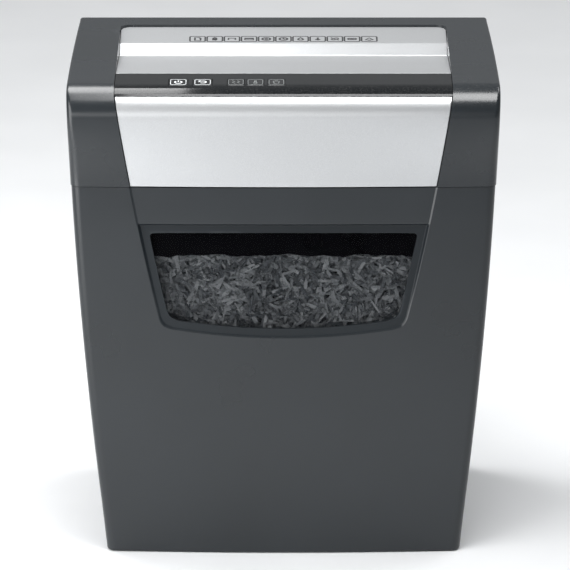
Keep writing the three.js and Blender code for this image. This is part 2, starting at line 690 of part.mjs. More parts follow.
add("front_sync_gear", gear(SYNC, SYNC_PLANE, FRONT_SHAFT, phases.sync, shaftBore), darkSteel);
add("rear_sync_gear", gear(SYNC, SYNC_PLANE, REAR_SHAFT, meshAngle(0, SYNC, SYNC, 0), shaftBore), darkSteel);
add("final_gear", gear(FINAL, GEAR_PLANES[0], FRONT_SHAFT, phases.final, shaftBore), darkSteel);

function idler(pinion, wheel, pinionPlane, wheelPlane, centre, phase) {
  const boreR = AXLE_R + GEAR_BORE_CLEARANCE;
  const hub = ringAlongX(boreR, boreR + 1.8, pinionPlane[1] - 0.5, wheelPlane[0] + 0.5, ...centre, 16);
  return joined(
    gear(pinion, pinionPlane, centre, phase, boreR),
    hub,
    gear(wheel, wheelPlane, centre, phase, boreR),
  );
}

add(
  "idler_gear_2",
  idler(IDLER_2_PINION, IDLER_2_WHEEL, GEAR_PLANES[0], GEAR_PLANES[1], IDLER_2, phases.idler2Pinion),
  nylon,
);
add(
  "idler_gear_1",
  idler(IDLER_1_PINION, IDLER_1_WHEEL, GEAR_PLANES[1], GEAR_PLANES[2], IDLER_1, phases.idler1Pinion),
  nylon,
);

const MOTOR_R = 25;
const MOTOR_X = [24, PLATE_FACE - PLATE_THICK - 0.3];
const MOTOR_SHAFT_R = 2.5;
const ROTOR_TAIL_X = 92;

function motorCan() {
  const nose = MOTOR_X[1];
  const can = turnedAlongX(
    [[0, MOTOR_X[0]], [8, MOTOR_X[0]], [8, MOTOR_X[0] + 4], [MOTOR_R - 2, MOTOR_X[0] + 4],
      [MOTOR_R, MOTOR_X[0] + 6], [MOTOR_R, nose], [0, nose]],
    ...MOTOR,
  );
  return cut(can, rodAlongX(MOTOR_SHAFT_R + 1.2, ROTOR_TAIL_X - 1, nose + 1, ...MOTOR));
}

add("motor", motorCan(), steel);
add(
  "motor_rotor",
  joined(
    rodAlongX(MOTOR_SHAFT_R, ROTOR_TAIL_X, GEAR_PLANES[2][0] + 1, ...MOTOR, 16),
    gear(MOTOR_PINION, GEAR_PLANES[2], MOTOR, phases.motor, 0),
  ),
  darkSteel,
);

const PLATE_Z = [BASE_PLATE_Z[1] + 0.4, 385.5];
const POSTS = [[-66, 343], [-38, 384], [54, 382], [54, 338]];
const TIE_RODS = [[-6, 338], [-2, 380], [76, 340]];
const TIE_ROD_R = 3;
const PLATE_REAR_Y = 84;
const BUSH_SEAT_R = 10.3;
const BUSH_R = 10;

function sidePlate(side, frontEdge, extraHoles) {
  const x0 = side * PLATE_X - PLATE_THICK / 2;
  const plate = box([x0, frontEdge, PLATE_Z[0]], [x0 + PLATE_THICK, PLATE_REAR_Y, PLATE_Z[1]]);
  const hole = (centre, radius) => rodAlongX(radius, x0 - 1, x0 + PLATE_THICK + 1, ...centre);
  const holes = [FRONT_SHAFT, REAR_SHAFT].map((centre) => hole(centre, BUSH_SEAT_R));
  return cut(plate, ...holes, ...extraHoles.map(([centre, radius]) => hole(centre, radius)));
}

add("left_side_plate", sidePlate(-1, -12, []), steel);
add("right_side_plate", sidePlate(1, -84, [[MOTOR, 6]]), steel);
TIE_RODS.forEach(([y, z], item) => {
  const end = PLATE_X - PLATE_THICK / 2 - 0.3;
  add(`tie_rod_${item + 1}`, rodAlongX(TIE_ROD_R, -end, end, y, z, 16), darkSteel);
});
for (const [sideName, side] of [["left", -1], ["right", 1]]) {
  for (const [placeName, centre] of [["front", FRONT_SHAFT], ["rear", REAR_SHAFT]]) {
    const x = side * PLATE_X;
    const bush = ringAlongX(shaftBore, BUSH_R, x - BUSH_HALF, x + BUSH_HALF, ...centre);
    add(`${sideName}_${placeName}_bush`, bush, bronze);
  }
}
for (const [item, centre] of [[1, IDLER_1], [2, IDLER_2]]) {
  add(`idler_axle_${item}`, rodAlongX(AXLE_R, PLATE_FACE + 0.3, COVER_PLANE[0] - 0.3, ...centre, 16), steel);
}

function gearCover() {
  const plate = box([COVER_PLANE[0], -72, 334], [COVER_PLANE[1], 60, 388]);
  const posts = POSTS.map(([y, z]) => rodAlongX(3, PLATE_FACE + 0.3, COVER_PLANE[0] + 0.5, y, z, 12));
  return joined(plate, ...posts);
}

add("gear_cover", gearCover(), darkSteel);

// Combs strip the shreds out of the gaps between the discs.
function stripperComb(shaftY, side, discX, count) {
  const bar = [shaftY + side * (DISC_R + 1.5), shaftY + side * (DISC_R + 5)].sort((a, b) => a - b);
  const tips = [shaftY + side * (CORE_R + 1.2), shaftY + side * (DISC_R + 2)].sort((a, b) => a - b);
  const spine = box([-112, bar[0], SHAFT_Z - 4], [112, bar[1], SHAFT_Z + 4]);
  const fingers = Array.from({ length: count }, (_, item) => {
    const x = discX + (item + 0.5) * DISC_PITCH;
    return box([x - 3, tips[0], SHAFT_Z - 3], [x + 3, tips[1], SHAFT_Z + 3]);
  });
  return joined(spine, ...fingers);
}

add("front_comb", stripperComb(FRONT_SHAFT[0], -1, frontDiscX, DISC_COUNT - 1), blackNylon);
add("rear_comb", stripperComb(REAR_SHAFT[0], 1, rearDiscX, DISC_COUNT - 2), blackNylon);

// Two plates lead the sheet from the slot down to the cutters.
const GUIDE_HALF = 114;
const guideOutline = (side) => {
  const [lip, thick] = side < 0 ? [FRONT_LIP[0], -PANEL_THICK] : [RAMP_FOOT[0], PANEL_THICK];
  const lean = -side * 1.7;
  return [[lip, 385.6], [lip + thick, 385.6], [lip + thick + lean, 379], [lip + lean, 379]];
};

function frontGuide() {
  const notch = box([-FEELER_SLOT_HALF, 26, 381.6], [FEELER_SLOT_HALF, 36, 387]);
  return cut(barAlongX(guideOutline(-1), -GUIDE_HALF, GUIDE_HALF), notch);
}

add("front_paper_guide", frontGuide(), blackNylon);
add("rear_paper_guide", barAlongX(guideOutline(1), -GUIDE_HALF, GUIDE_HALF), blackNylon);

function paperFeeler() {
  const [pinY, pinZ] = FEELER_PIN;
  const arm = box([-FEELER_HALF, pinY - 2, pinZ - 1.5], [FEELER_HALF, 37, pinZ + 1.5]);
  const pinEnd = FEELER_SLOT_HALF + 2.5;
  return joined(arm, rodAlongX(FEELER_PIN_R, -pinEnd, pinEnd, pinY, pinZ, 12));
}

add("paper_feeler", paperFeeler(), blackNylon);

// ---- electrics ---------------------------------------------------------------------------------
function controlBoard() {
  const board = box([-108, -105, 388.4], [20, -80, 390]);
  const switches = KEYS.map(([, x]) => box([x - 3, -96, 389.5], [x + 3, -90, 393.8]));
  const lamps = LENSES.map(([, x]) => box([x - 1.5, -95, 389.5], [x + 1.5, -92, 392]));
  const chip = box([4, -98, 389.5], [14, -88, 391.2]);
  return joined(board, ...switches, ...lamps, chip);
}

function powerBoard() {
  const board = box([-108, 88, 331], [-18, 118, 332.6]);
  const parts = [
    rodAlongZ(6, 332, 352, -92, 103),
    box([-78, 94, 332], [-58, 112, 348]),
    box([-50, 92, 332], [-40, 114, 344]),
    box([-34, 96, 332], [-24, 110, 340]),
  ];
  return joined(board, ...parts);
}

// Mains switch: a frame in the back wall and a rocker that tips in it.
const ROCKER_PIVOT = [DEPTH / 2 - 5, SWITCH_Z];
const ROCKER_HALF = 7;

function switchFrame() {
  const [halfX, halfZ] = SWITCH_HALF;
  const wellX = ROCKER_HALF + 0.6;
  const wellZ = halfZ - 1.6;
  const body = box(
    [SWITCH_X - halfX, DEPTH / 2 - 18, SWITCH_Z - halfZ],
    [SWITCH_X + halfX, DEPTH / 2 - 0.6, SWITCH_Z + halfZ],
  );
  const well = box(
    [SWITCH_X - wellX, DEPTH / 2 - 11, SWITCH_Z - wellZ],
    [SWITCH_X + wellX, DEPTH, SWITCH_Z + wellZ],
  );
  return cut(body, well);
}

function switchRocker() {
  const [y, z] = ROCKER_PIVOT;
  const outline = [[y - 2.5, z - 3], [y + 1.2, z - 4.4], [y + 3, z], [y + 4, z + 4.2], [y - 2.5, z + 3]];
  return barAlongX(outline, SWITCH_X - ROCKER_HALF, SWITCH_X + ROCKER_HALF);
}

function cordGland() {
  const sleeve = rodAlongY(GLAND_R, DEPTH / 2 - 9, DEPTH / 2 - 0.4, GLAND_X, GLAND_Z);
  const collar = rodAlongY(GLAND_R + 2.5, DEPTH / 2 - 9, DEPTH / 2 - WALL - 0.4, GLAND_X, GLAND_Z);
  return cut(joined(sleeve, collar), rodAlongY(3.6, 0, DEPTH, GLAND_X, GLAND_Z));
}

add("control_board", controlBoard(), boardGreen);
add("power_board", powerBoard(), boardGreen);
add("interlock_switch", box([-156, 20, 328.5], [-142, 32, 344]), blackNylon);
add("mains_switch_frame", switchFrame(), blackNylon);
add("mains_rocker", switchRocker(), blackNylon);
add("cord_gland", cordGland(), blackNylon);

export default root;
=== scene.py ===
import math
import random

import bmesh
import bpy
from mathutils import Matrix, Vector


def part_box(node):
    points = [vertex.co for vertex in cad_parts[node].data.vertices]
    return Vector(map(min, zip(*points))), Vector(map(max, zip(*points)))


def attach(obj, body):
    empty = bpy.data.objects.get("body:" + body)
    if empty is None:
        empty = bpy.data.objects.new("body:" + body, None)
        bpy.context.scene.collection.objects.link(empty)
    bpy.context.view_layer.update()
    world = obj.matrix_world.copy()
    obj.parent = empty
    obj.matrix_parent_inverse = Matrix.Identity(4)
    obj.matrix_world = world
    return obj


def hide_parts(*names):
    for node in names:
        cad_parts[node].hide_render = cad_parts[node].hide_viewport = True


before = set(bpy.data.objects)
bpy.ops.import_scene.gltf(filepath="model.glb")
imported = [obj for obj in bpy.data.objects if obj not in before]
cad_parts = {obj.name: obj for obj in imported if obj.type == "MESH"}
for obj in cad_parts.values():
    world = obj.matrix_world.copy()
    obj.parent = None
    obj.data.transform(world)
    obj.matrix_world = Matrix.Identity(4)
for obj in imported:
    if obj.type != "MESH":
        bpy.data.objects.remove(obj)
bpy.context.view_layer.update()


# ---- studio ------------------------------------------------------------------------------------
# A long lens a few metres away, two soft panels overhead, one close by at the left front so that
# its light fades across the machine, a far one in front, and two that light the floor behind.
CAMERA_TARGET = Vector((0.0, -0.125, 0.239))
CAMERA_DISTANCE = 4.55
CAMERA_TILT = math.radians(16.85)

camera_data = bpy.data.cameras.new("camera")
camera_data.sensor_width = 36
camera_data.lens = 344.2
camera_data.shift_x = 0.0028
camera_data.clip_end = 60
camera = bpy.data.objects.new("camera", camera_data)
backwards = Vector((0, -math.cos(CAMERA_TILT), math.sin(CAMERA_TILT)))
camera.location = CAMERA_TARGET + backwards * CAMERA_DISTANCE
camera.rotation_euler = (-backwards).to_track_quat("-Z", "Y").to_euler()
bpy.context.collection.objects.link(camera)
bpy.context.scene.camera = camera
bpy.context.scene.view_settings.view_transform = "Standard"


def soft_panel(name, place, aim, size, power):
    """An area light at place, turned towards aim: size in metres, power in watts."""
    data = bpy.data.lights.new(name, "AREA")
    data.shape = "RECTANGLE"
    data.size, data.size_y = size
    data.energy = power
    panel = bpy.data.objects.new(name, data)
    panel.location = place
    panel.rotation_euler = (Vector(aim) - Vector(place)).to_track_quat("-Z", "Y").to_euler()
    panel.visible_camera = False
    bpy.context.collection.objects.link(panel)


soft_panel("panel_overhead", (0.12, -0.43, 1.40), (0.12, -0.43, 0.0), (0.56, 0.66), 12.5)
soft_panel("panel_overhead_left", (-0.34, 0.25, 1.40), (-0.34, 0.25, 0.0), (0.48, 0.66), 10)
soft_panel("panel_left", (-0.80, -0.78, 0.48), (0.0, -0.10, 0.25), (0.8, 1.0), 11)
soft_panel("panel_front", (-0.95, -4.80, 0.75), (0.0, 0.0, 0.30), (1.4, 1.0), 20)
soft_panel("panel_behind_left", (-1.9, 1.4, 3.1), (0.0, 1.6, 0.0), (1.2, 2.0), 34)
soft_panel("panel_behind_right", (1.9, 1.4, 3.1), (0.0, 1.6, 0.0), (1.2, 2.0), 34)

world = bpy.data.worlds.new("studio")
world.use_nodes = True
world.node_tree.nodes["Background"].inputs["Color"].default_value = (0.93, 0.95, 0.97, 1)
world.node_tree.nodes["Background"].inputs["Strength"].default_value = 0.26
bpy.context.scene.world = world


# ---- floor -------------------------------------------------------------------------------------
# A wide pale sheet under the machine, painted matt. Its paint has a fine grain and a slow change
# of tone, from the same grain group that the mould's spark texture on the plastic parts uses.
FLOOR_HALF = 9.0
FLOOR_DARK = (0.86, 0.87, 0.88)
FLOOR_LIGHT = (0.88, 0.89, 0.90)
MOULD_RELIEF = 2.5e-5


def started_group(name, inputs, outputs):
    """A node group with its named sockets, its inlet and its outlet."""
    group = bpy.data.node_groups.new(name, "ShaderNodeTree")
    for label, value in inputs.items():
        made = group.interface.new_socket(name=label, in_out="INPUT", socket_type="NodeSocketFloat")
        made.default_value = value
    for label in outputs:
        group.interface.new_socket(name=label, in_out="OUTPUT", socket_type="NodeSocketFloat")
    return group, group.nodes.new("NodeGroupInput"), group.nodes.new("NodeGroupOutput")


def set_inputs(node, values):
    for label, value in values.items():
        node.inputs[label.replace("_", " ")].default_value = value


def noise(tree, place, **values):
    """A noise texture laid on the given coordinates."""
    texture = tree.nodes.new("ShaderNodeTexNoise")
    set_inputs(texture, values)
    tree.links.new(place, texture.inputs["Vector"])
    return texture


def mould_grain_group():
    group, inlet, outlet = started_group(
        "mould_grain", {"Grain Scale": 900.0, "Cloud Scale": 9.0}, ("Height", "Cloud")
    )
    place = group.nodes.new("ShaderNodeTexCoord")
    grain = noise(group, place.outputs["Object"], Detail=3.0)
    cloud = noise(group, place.outputs["Object"], Detail=4.0, Roughness=0.6)
    group.links.new(inlet.outputs["Grain Scale"], grain.inputs["Scale"])
    group.links.new(inlet.outputs["Cloud Scale"], cloud.inputs["Scale"])
    group.links.new(grain.outputs[0], outlet.inputs["Height"])
    group.links.new(cloud.outputs[0], outlet.inputs["Cloud"])
    return group


mould_grain = mould_grain_group()


def placed(tree, group, **values):
    node = tree.nodes.new("ShaderNodeGroup")
    node.node_tree = group
    set_inputs(node, values)
    return node


def blended(tree, factor, first, second):
    """A colour between first and second; each is a colour or an output."""
    mix = tree.nodes.new("ShaderNodeMix")
    mix.data_type = "RGBA"
    tree.links.new(factor, mix.inputs[0])
    for value, inlet in ((first, mix.inputs[6]), (second, mix.inputs[7])):
        if isinstance(value, tuple):
            inlet.default_value = (*value, 1.0)
        else:
            tree.links.new(value, inlet)
    return mix.outputs[2]


def ranged(tree, value, low, high, start=0.0, end=1.0):
    """The value, carried from start..end to low..high."""
    span = tree.nodes.new("ShaderNodeMapRange")
    tree.links.new(value, span.inputs["Value"])
    set_inputs(span, {"From Min": start, "From Max": end, "To Min": low, "To Max": high})
    return span.outputs[0]


def patches(tree, cloud, low=0.0, high=1.0):
    """The slow cloud, spread over low..high."""
    return ranged(tree, cloud, low, high, 0.3, 0.7)


def bumped(tree, height, distance):
    bump = tree.nodes.new("ShaderNodeBump")
    bump.inputs["Strength"].default_value = 1.0
    bump.inputs["Distance"].default_value = distance
    tree.links.new(height, bump.inputs["Height"])
    return bump.outputs["Normal"]


def blank_finish(name):
    """A new material, its node tree and its Principled shader."""
    material = bpy.data.materials.new(name)
    material.use_nodes = True
    return material, material.node_tree, material.node_tree.nodes["Principled BSDF"]


def matt_paint(name, dark, light):
    material, tree, surface = blank_finish(name)
    coat = placed(tree, mould_grain, Grain_Scale=400.0, Cloud_Scale=7.0)
    cloud = coat.outputs["Cloud"]
    tree.links.new(blended(tree, patches(tree, cloud), dark, light), surface.inputs["Base Color"])
    tree.links.new(patches(tree, cloud, 0.55, 0.7), surface.inputs["Roughness"])
    tree.links.new(bumped(tree, coat.outputs["Height"], MOULD_RELIEF), surface.inputs["Normal"])
    return material


floor_mesh = bpy.data.meshes.new("floor")
corners = [(x * FLOOR_HALF, y * FLOOR_HALF, 0) for x, y in ((-1, -1), (1, -1), (1, 1), (-1, 1))]
floor_mesh.from_pydata(corners, [], [(0, 1, 2, 3)])
floor = bpy.data.objects.new("floor", floor_mesh)
bpy.context.collection.objects.link(floor)
floor.data.materials.append(matt_paint("pale_floor", FLOOR_DARK, FLOOR_LIGHT))


# ---- bin ---------------------------------------------------------------------------------------
# The waste bin: one deep moulding in charcoal plastic. Its walls draw in towards the floor, the
# front bows out a little, and a scooped pocket is sunk into the front round the window opening.
# It stands loose under the head.
HEAD_LOW, HEAD_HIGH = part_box("head_housing")
HALF_WIDTH = HEAD_HIGH.x
HALF_DEPTH = HEAD_HIGH.y
FRONT_Y = HEAD_LOW.y
HEIGHT = HEAD_HIGH.z
SEAM_Z = HEAD_LOW.z
BASE_HALF = 0.1495
SHOULDER_Z = 0.400
SIDE_BULGE = 0.005
REAR_TAPER = 0.0033
FRONT_LEAN = 0.004
REAR_LEAN = 0.011
LEAN_TOP_Z = 0.300
FRONT_BOW = 0.005
FRONT_EDGE_R = 0.008
REAR_EDGE_R = 0.009
LEAST_EDGE_R = 0.001
BROW_R = 0.025
BROW_Z = HEIGHT - BROW_R


def smooth(value):
    value = min(max(value, 0.0), 1.0)
    return value * value * (3 - 2 * value)


def soft_ramp(value, rounding):
    """A straight ramp from 0 to 1 with both ends rounded off."""
    if value <= -rounding:
        return 0.0
    if value < rounding:
        return (value + rounding) ** 2 / (4 * rounding)
    if value <= 1 - rounding:
        return value
    if value < 1 + rounding:
        return 1 - (1 + rounding - value) ** 2 / (4 * rounding)
    return 1.0


def spread(low, high, count):
    return [low + (high - low) * step / count for step in range(count + 1)]


def arc(centre, radius, start, end, count):
    return [
        (centre[0] + radius * math.cos(math.radians(a)), centre[1] + radius * math.sin(math.radians(a)))
        for a in spread(start, end, count)
    ]


def half_width(z):
    t = z / SHOULDER_Z
    return BASE_HALF + (HALF_WIDTH - BASE_HALF) * min(t, 1) + 4 * SIDE_BULGE * t * max(1 - t, 0)


def front_y(z):
    return FRONT_Y + FRONT_LEAN * max(0, 1 - z / LEAN_TOP_Z)


def rear_y(z):
    return HALF_DEPTH - REAR_LEAN * max(0, 1 - z / LEAN_TOP_Z)


def face_y(x, z, inset=0.0):
    """The bowed front face."""
    bow = FRONT_BOW * smooth((BROW_Z - z) / (BROW_Z - SEAM_Z))
    return front_y(z) + inset + bow * (x / (half_width(z) - inset)) ** 2


# The front inset: two V lines run down the front, and the band over the pocket is set back a
# little between them.
INSET_TOP_Z = 0.400
INSET_TOP_HALF = 0.1403
INSET_SLOPE = 0.145
INSET_CURVE = 4.35
APRON_SET = 0.001
APRON_FOOT_LAP = 0.0004
APRON_FOOT_RUN = 0.0003
GROOVE_RUN = 0.0017
GROOVE_OUTSIDE = 0.0007
BIN_STEP = 0.0006
POCKET_TOP_Z = 0.291
POCKET_FOOT_Z = 0.1917
POCKET_FOOT_RISE = 0.008
POCKET_FOOT_HALF = 0.097
POCKET_FLOOR_Y = -0.1184
POCKET_FOOT_DEPTH = 0.0011


def inset_half(z):
    """Half the distance between the two V lines."""
    drop = max(INSET_TOP_Z - z, 0)
    return INSET_TOP_HALF - INSET_SLOPE * drop - drop**2 / INSET_CURVE


def apron_drop(x, z):
    """How far the band over the pocket is set back."""
    inside = (inset_half(z) + GROOVE_OUTSIDE - abs(x)) / GROOVE_RUN
    above = (z - POCKET_TOP_Z + APRON_FOOT_LAP) / APRON_FOOT_RUN
    return APRON_SET * soft_ramp(inside, 0.2) * smooth(above)


def pocket_floor_y(x, z):
    """The pocket is a scoop: deep under its top edge, almost level with the face at its foot."""
    fall = smooth((POCKET_TOP_Z - z) / (POCKET_TOP_Z - POCKET_FOOT_Z))
    return POCKET_FLOOR_Y + (face_y(x, z, BIN_STEP) + POCKET_FOOT_DEPTH - POCKET_FLOOR_Y) * fall


def resampled(line, shares):
    """Points along a line at the given shares of its length."""
    lengths = [0.0]
    for a, b in zip(line, line[1:]):
        lengths.append(lengths[-1] + math.dist(a, b))
    points = []
    at = 0
    for share in shares:
        reach = share * lengths[-1]
        while at < len(line) - 2 and lengths[at + 1] < reach:
            at += 1
        span = lengths[at + 1] - lengths[at]
        t = (reach - lengths[at]) / span if span else 0.0
        points.append(tuple(p + (q - p) * t for p, q in zip(line[at], line[at + 1])))
    return points


def curve_through(start, corner, end, count):
    return [
        tuple((1 - t) ** 2 * a + 2 * t * (1 - t) * b + t * t * c for a, b, c in zip(start, corner, end))
        for t in spread(0, 1, count)
    ]


CORNER_RISE = 0.017
CORNER_BEND = 0.009
CORNER_REACH = 0.008
FOOT_END_INSET = 0.003


def pocket_sides(border, top_z, corner_r):
    """Half of the pocket's outline, drawn in by border: its top, its side and its foot."""
    def foot_z(x):
        return POCKET_FOOT_Z + border + POCKET_FOOT_RISE * (x / POCKET_FOOT_HALF) ** 2

    shoulder = POCKET_FOOT_Z + CORNER_RISE + border
    side = [(inset_half(z) - border, z) for z in spread(top_z - corner_r, shoulder, 40)]
    top_x = inset_half(top_z) - border
    corner = curve_through((top_x - corner_r, top_z), (top_x, top_z), side[0], 8)
    foot_x = POCKET_FOOT_HALF - FOOT_END_INSET - border
    round_corner = curve_through(
        side[-1],
        (inset_half(shoulder - CORNER_BEND) - border, foot_z(foot_x + CORNER_REACH)),
        (foot_x, foot_z(foot_x)),
        24,
    )
    foot = [(x, foot_z(x)) for x in spread(foot_x, 0, 30)]
    top = [(0, top_z), *corner[:5]]
    right = [*corner[4:], *side[1:], *round_corner[1:13]]
    return top, right, [*round_corner[12:], *foot[1:]]


def mirrored_line(half):
    """A line that starts on the middle plane, carried across it to its mirror image."""
    return [(-x, z) for x, z in reversed(half)] + half[1:]


def mirrored_back(half):
    """The same, run from right to left."""
    return list(reversed(mirrored_line(half)))


def pocket_ring(border, top_z, corner_r, top_shares, side_shares, foot_shares):
    top, right, foot = pocket_sides(border, top_z, corner_r)
    over = resampled(mirrored_line(top), top_shares)
    down = resampled(right, side_shares)
    under = resampled(mirrored_back(list(reversed(foot))), foot_shares)
    up = [(-x, z) for x, z in reversed(down)]
    return [*over[:-1], *down[:-1], *under[:-1], *up[:-1]]


def shares_of(line):
    lengths = [0.0]
    for a, b in zip(line, line[1:]):
        lengths.append(lengths[-1] + math.dist(a, b))
    return [length / lengths[-1] for length in lengths]


WELD = 2e-6
INSIDE_POINT = Vector((0, 0, 0.3))


def skin(name, *patches_of_rows):
    """Patches of rows of points, joined along their shared edges into one surface that faces out."""
    made = bmesh.new()
    for rows in patches_of_rows:
        lines = [[made.verts.new(point) for point in row] for row in rows]
        for lower, upper in zip(lines, lines[1:]):
            for a in range(len(lower) - 1):
                made.faces.new((lower[a], lower[a + 1], upper[a + 1], upper[a]))
    bmesh.ops.remove_doubles(made, verts=made.verts, dist=WELD)
    bmesh.ops.dissolve_degenerate(made, edges=made.edges, dist=1e-7)
    bmesh.ops.recalc_face_normals(made, faces=made.faces)
    outwards = sum(f.normal.dot(f.calc_center_median() - INSIDE_POINT) * f.calc_area() for f in made.faces)
    if outwards < 0:
        bmesh.ops.reverse_faces(made, faces=made.faces)
    return as_object(name, made)


def as_object(name, made):
    mesh = bpy.data.meshes.new(name)
    made.to_mesh(mesh)
    made.free()
    mesh.shade_smooth()
    piece = bpy.data.objects.new(name, mesh)
    bpy.context.collection.objects.link(piece)
    return piece


def broken_edges(piece, radius, segments=2, angle=35):
    """Rounds the sharp edges and keeps the broad faces flat in the light."""
    bevel = piece.modifiers.new("edges", "BEVEL")
    bevel.width = radius
    bevel.segments = segments
    bevel.limit_method = "ANGLE"
    bevel.angle_limit = math.radians(angle)
    normals = piece.modifiers.new("normals", "WEIGHTED_NORMAL")
    normals.weight = 80


def thickened(piece, wall):
    """Gives a moulded skin its wall, inwards."""
    solid = piece.modifiers.new("wall", "SOLIDIFY")
    solid.thickness = wall
    solid.offset = -1
    solid.use_even_offset = False


def moulded(name, wall, edge_r, *patches_of_rows, segments=2):
    """A moulded cover: a skin with its wall and its rounded edges."""
    piece = skin(name, *patches_of_rows)
    thickened(piece, wall)
    broken_edges(piece, edge_r, segments, angle=50)
    return piece


# The front face has a hole that the pocket's rings fill; its points keep their order at each
# height, so that the columns follow the V lines.
HOLE_TOP_Z = POCKET_TOP_Z + 0.003
HOLE_FOOT_Z = 0.183
HOLE_MARGIN = 0.004
HOLE_FLARE = 0.006
GROOVE_STEPS = (-0.0016, -0.0012, -0.0008, -0.0004, 0.0)
GROOVE_OUTER = (0.0003, 0.0006, 0.0010)
CENTRE_COLUMNS = 34
ARM_COLUMNS = 6
HOLE_COLUMN = CENTRE_COLUMNS // 2 + len(GROOVE_STEPS) - 1


def hole_half(z):
    return inset_half(z) + HOLE_MARGIN * smooth((HOLE_TOP_Z - z) / HOLE_FLARE)


def bin_front_xs(z, inset):
    """Places of the front face's points from the middle to the right corner."""
    edge = hole_half(z)
    middle = spread(0, edge + GROOVE_STEPS[0], CENTRE_COLUMNS // 2)
    steps = [edge + step for step in (*GROOVE_STEPS[1:], *GROOVE_OUTER)]
    last = half_width(z) - inset - max(FRONT_EDGE_R - inset, LEAST_EDGE_R)
    return [*middle, *steps, *spread(steps[-1], last, ARM_COLUMNS)[1:]]


def bin_half_ring(z, inset):
    """Half of the bin's outline at height z, from the middle of the front to the middle of the back."""
    half = half_width(z) - inset
    rear = rear_y(z) - inset
    front_r = max(FRONT_EDGE_R - inset, LEAST_EDGE_R)
    rear_r = max(REAR_EDGE_R - inset, LEAST_EDGE_R)
    front = [(x, face_y(x, z, inset) + apron_drop(x, z)) for x in bin_front_xs(z, inset)]
    corner_x = half - front_r
    corner_y = front[-1][1] + front_r
    run = rear - rear_r - corner_y
    rear_x = half - REAR_TAPER - rear_r
    return [
        *front,
        *arc((corner_x, corner_y), front_r, 270, 360, 8)[1:-1],
        *[(half - REAR_TAPER * t * t, corner_y + t * run) for t in spread(0, 1, 10)],
        *arc((rear_x, rear - rear_r), rear_r, 0, 90, 8)[1:],
        *[(x, rear) for x in spread(rear_x, 0, 8)[1:]],
    ]


def both_halves(rows):
    """Rows that start and end on the middle plane, with their mirror images."""
    return [rows, [[(-x, y, z) for x, y, z in row] for row in rows]]


BIN_WALL = 0.0025
BIN_FOOT_R = 0.0026
BIN_STEP_TOP_Z = 0.040


def bin_row(z):
    """The outline at height z; the step under the head fades out towards the foot."""
    inset = BIN_STEP * min(1, z / BIN_STEP_TOP_Z) if z < BIN_STEP_TOP_Z else BIN_STEP
    return [(x, y, z) for x, y in bin_half_ring(z, inset)]


def foot_row(degrees):
    """A row of the rounded foot: 0 lies on the floor, 90 stands upright."""
    turn = math.radians(degrees)
    z = BIN_FOOT_R - BIN_FOOT_R * math.cos(turn)
    return [(x, y, z) for x, y in bin_half_ring(BIN_FOOT_R, BIN_FOOT_R - BIN_FOOT_R * math.sin(turn))]


POCKET_EDGE_STEPS = (-0.0035, -0.0015, 0.0, 0.0012, 0.002, 0.0026)
side_zs = [
    *spread(HOLE_FOOT_Z, POCKET_TOP_Z - 0.006, 34),
    *[POCKET_TOP_Z + step for step in POCKET_EDGE_STEPS],
    HOLE_TOP_Z,
]
foot_round = [foot_row(a) for a in spread(0, 90, 5)]
floor_rows = [[(x * share, y * share, 0.0) for x, y, z in foot_round[0]] for share in (0.0, 0.4, 0.8, 1.0)]
lower_rows = [foot_round[-1], *[bin_row(z) for z in spread(0.012, HOLE_FOOT_Z, 9)]]
upper_rows = [bin_row(z) for z in spread(HOLE_TOP_Z, SEAM_Z - 0.0005, 6)]
middle_rows = [bin_row(z)[HOLE_COLUMN:] for z in side_zs]

over_line = mirrored_line([(x, z) for x, y, z in bin_row(HOLE_TOP_Z)[: HOLE_COLUMN + 1]])
side_line = [(hole_half(z), z) for z in reversed(side_zs)]
foot_line = mirrored_back([(x, z) for x, y, z in bin_row(HOLE_FOOT_Z)[: HOLE_COLUMN + 1]])
left_line = [(-x, z) for x, z in reversed(side_line)]
hole_ring = [*over_line[:-1], *side_line[:-1], *foot_line[:-1], *left_line[:-1]]
ring_shares = (shares_of(over_line), shares_of(side_line), shares_of(foot_line))

# The pocket's lip is a short rounded wall, and its floor runs in to the window opening.
POCKET_WALL_RUN = 0.0019
POCKET_CORNER_R = 0.0015
LIP_ROUNDING = 0.25
LIP_SHARES = (-0.25, -0.17, -0.08, 0.0, 0.08, 0.17, 0.25, 0.5, 0.75, 0.83, 0.92, 1.0, 1.08, 1.17, 1.25)
WINDOW_BORDER = 0.008
WINDOW_TOP_Z = 0.2823
WINDOW_CORNER_R = 0.0045


def between(ring, other, share):
    return [(a + (c - a) * share, b + (d - b) * share) for (a, b), (c, d) in zip(ring, other)]


lip_rings = []
for share in LIP_SHARES:
    border = share * POCKET_WALL_RUN
    lip_rings.append(pocket_ring(border, POCKET_TOP_Z - border, POCKET_CORNER_R, *ring_shares))
lip_drops = [apron_drop(x, z) for x, z in lip_rings[0]]
pocket_rows = []
for share in spread(0, 1, 4)[:-1]:
    flat = between(hole_ring, lip_rings[0], share)
    pocket_rows.append([(x, face_y(x, z, BIN_STEP) + apron_drop(x, z), z) for x, z in flat])
for share, ring in zip(LIP_SHARES, lip_rings):
    sunk = soft_ramp(share, LIP_ROUNDING)
    row = []
    for (x, z), drop in zip(ring, lip_drops):
        lip = face_y(x, z, BIN_STEP) + drop
        row.append((x, lip + (pocket_floor_y(x, z) - lip) * sunk, z))
    pocket_rows.append(row)
window_ring = pocket_ring(WINDOW_BORDER, WINDOW_TOP_Z, WINDOW_CORNER_R, *ring_shares)
for share in spread(0, 1, 4)[1:]:
    flat = between(lip_rings[-1], window_ring, share)
    pocket_rows.append([(x, pocket_floor_y(x, z), z) for x, z in flat])
pocket_rows = [[*row, row[0]] for row in pocket_rows]

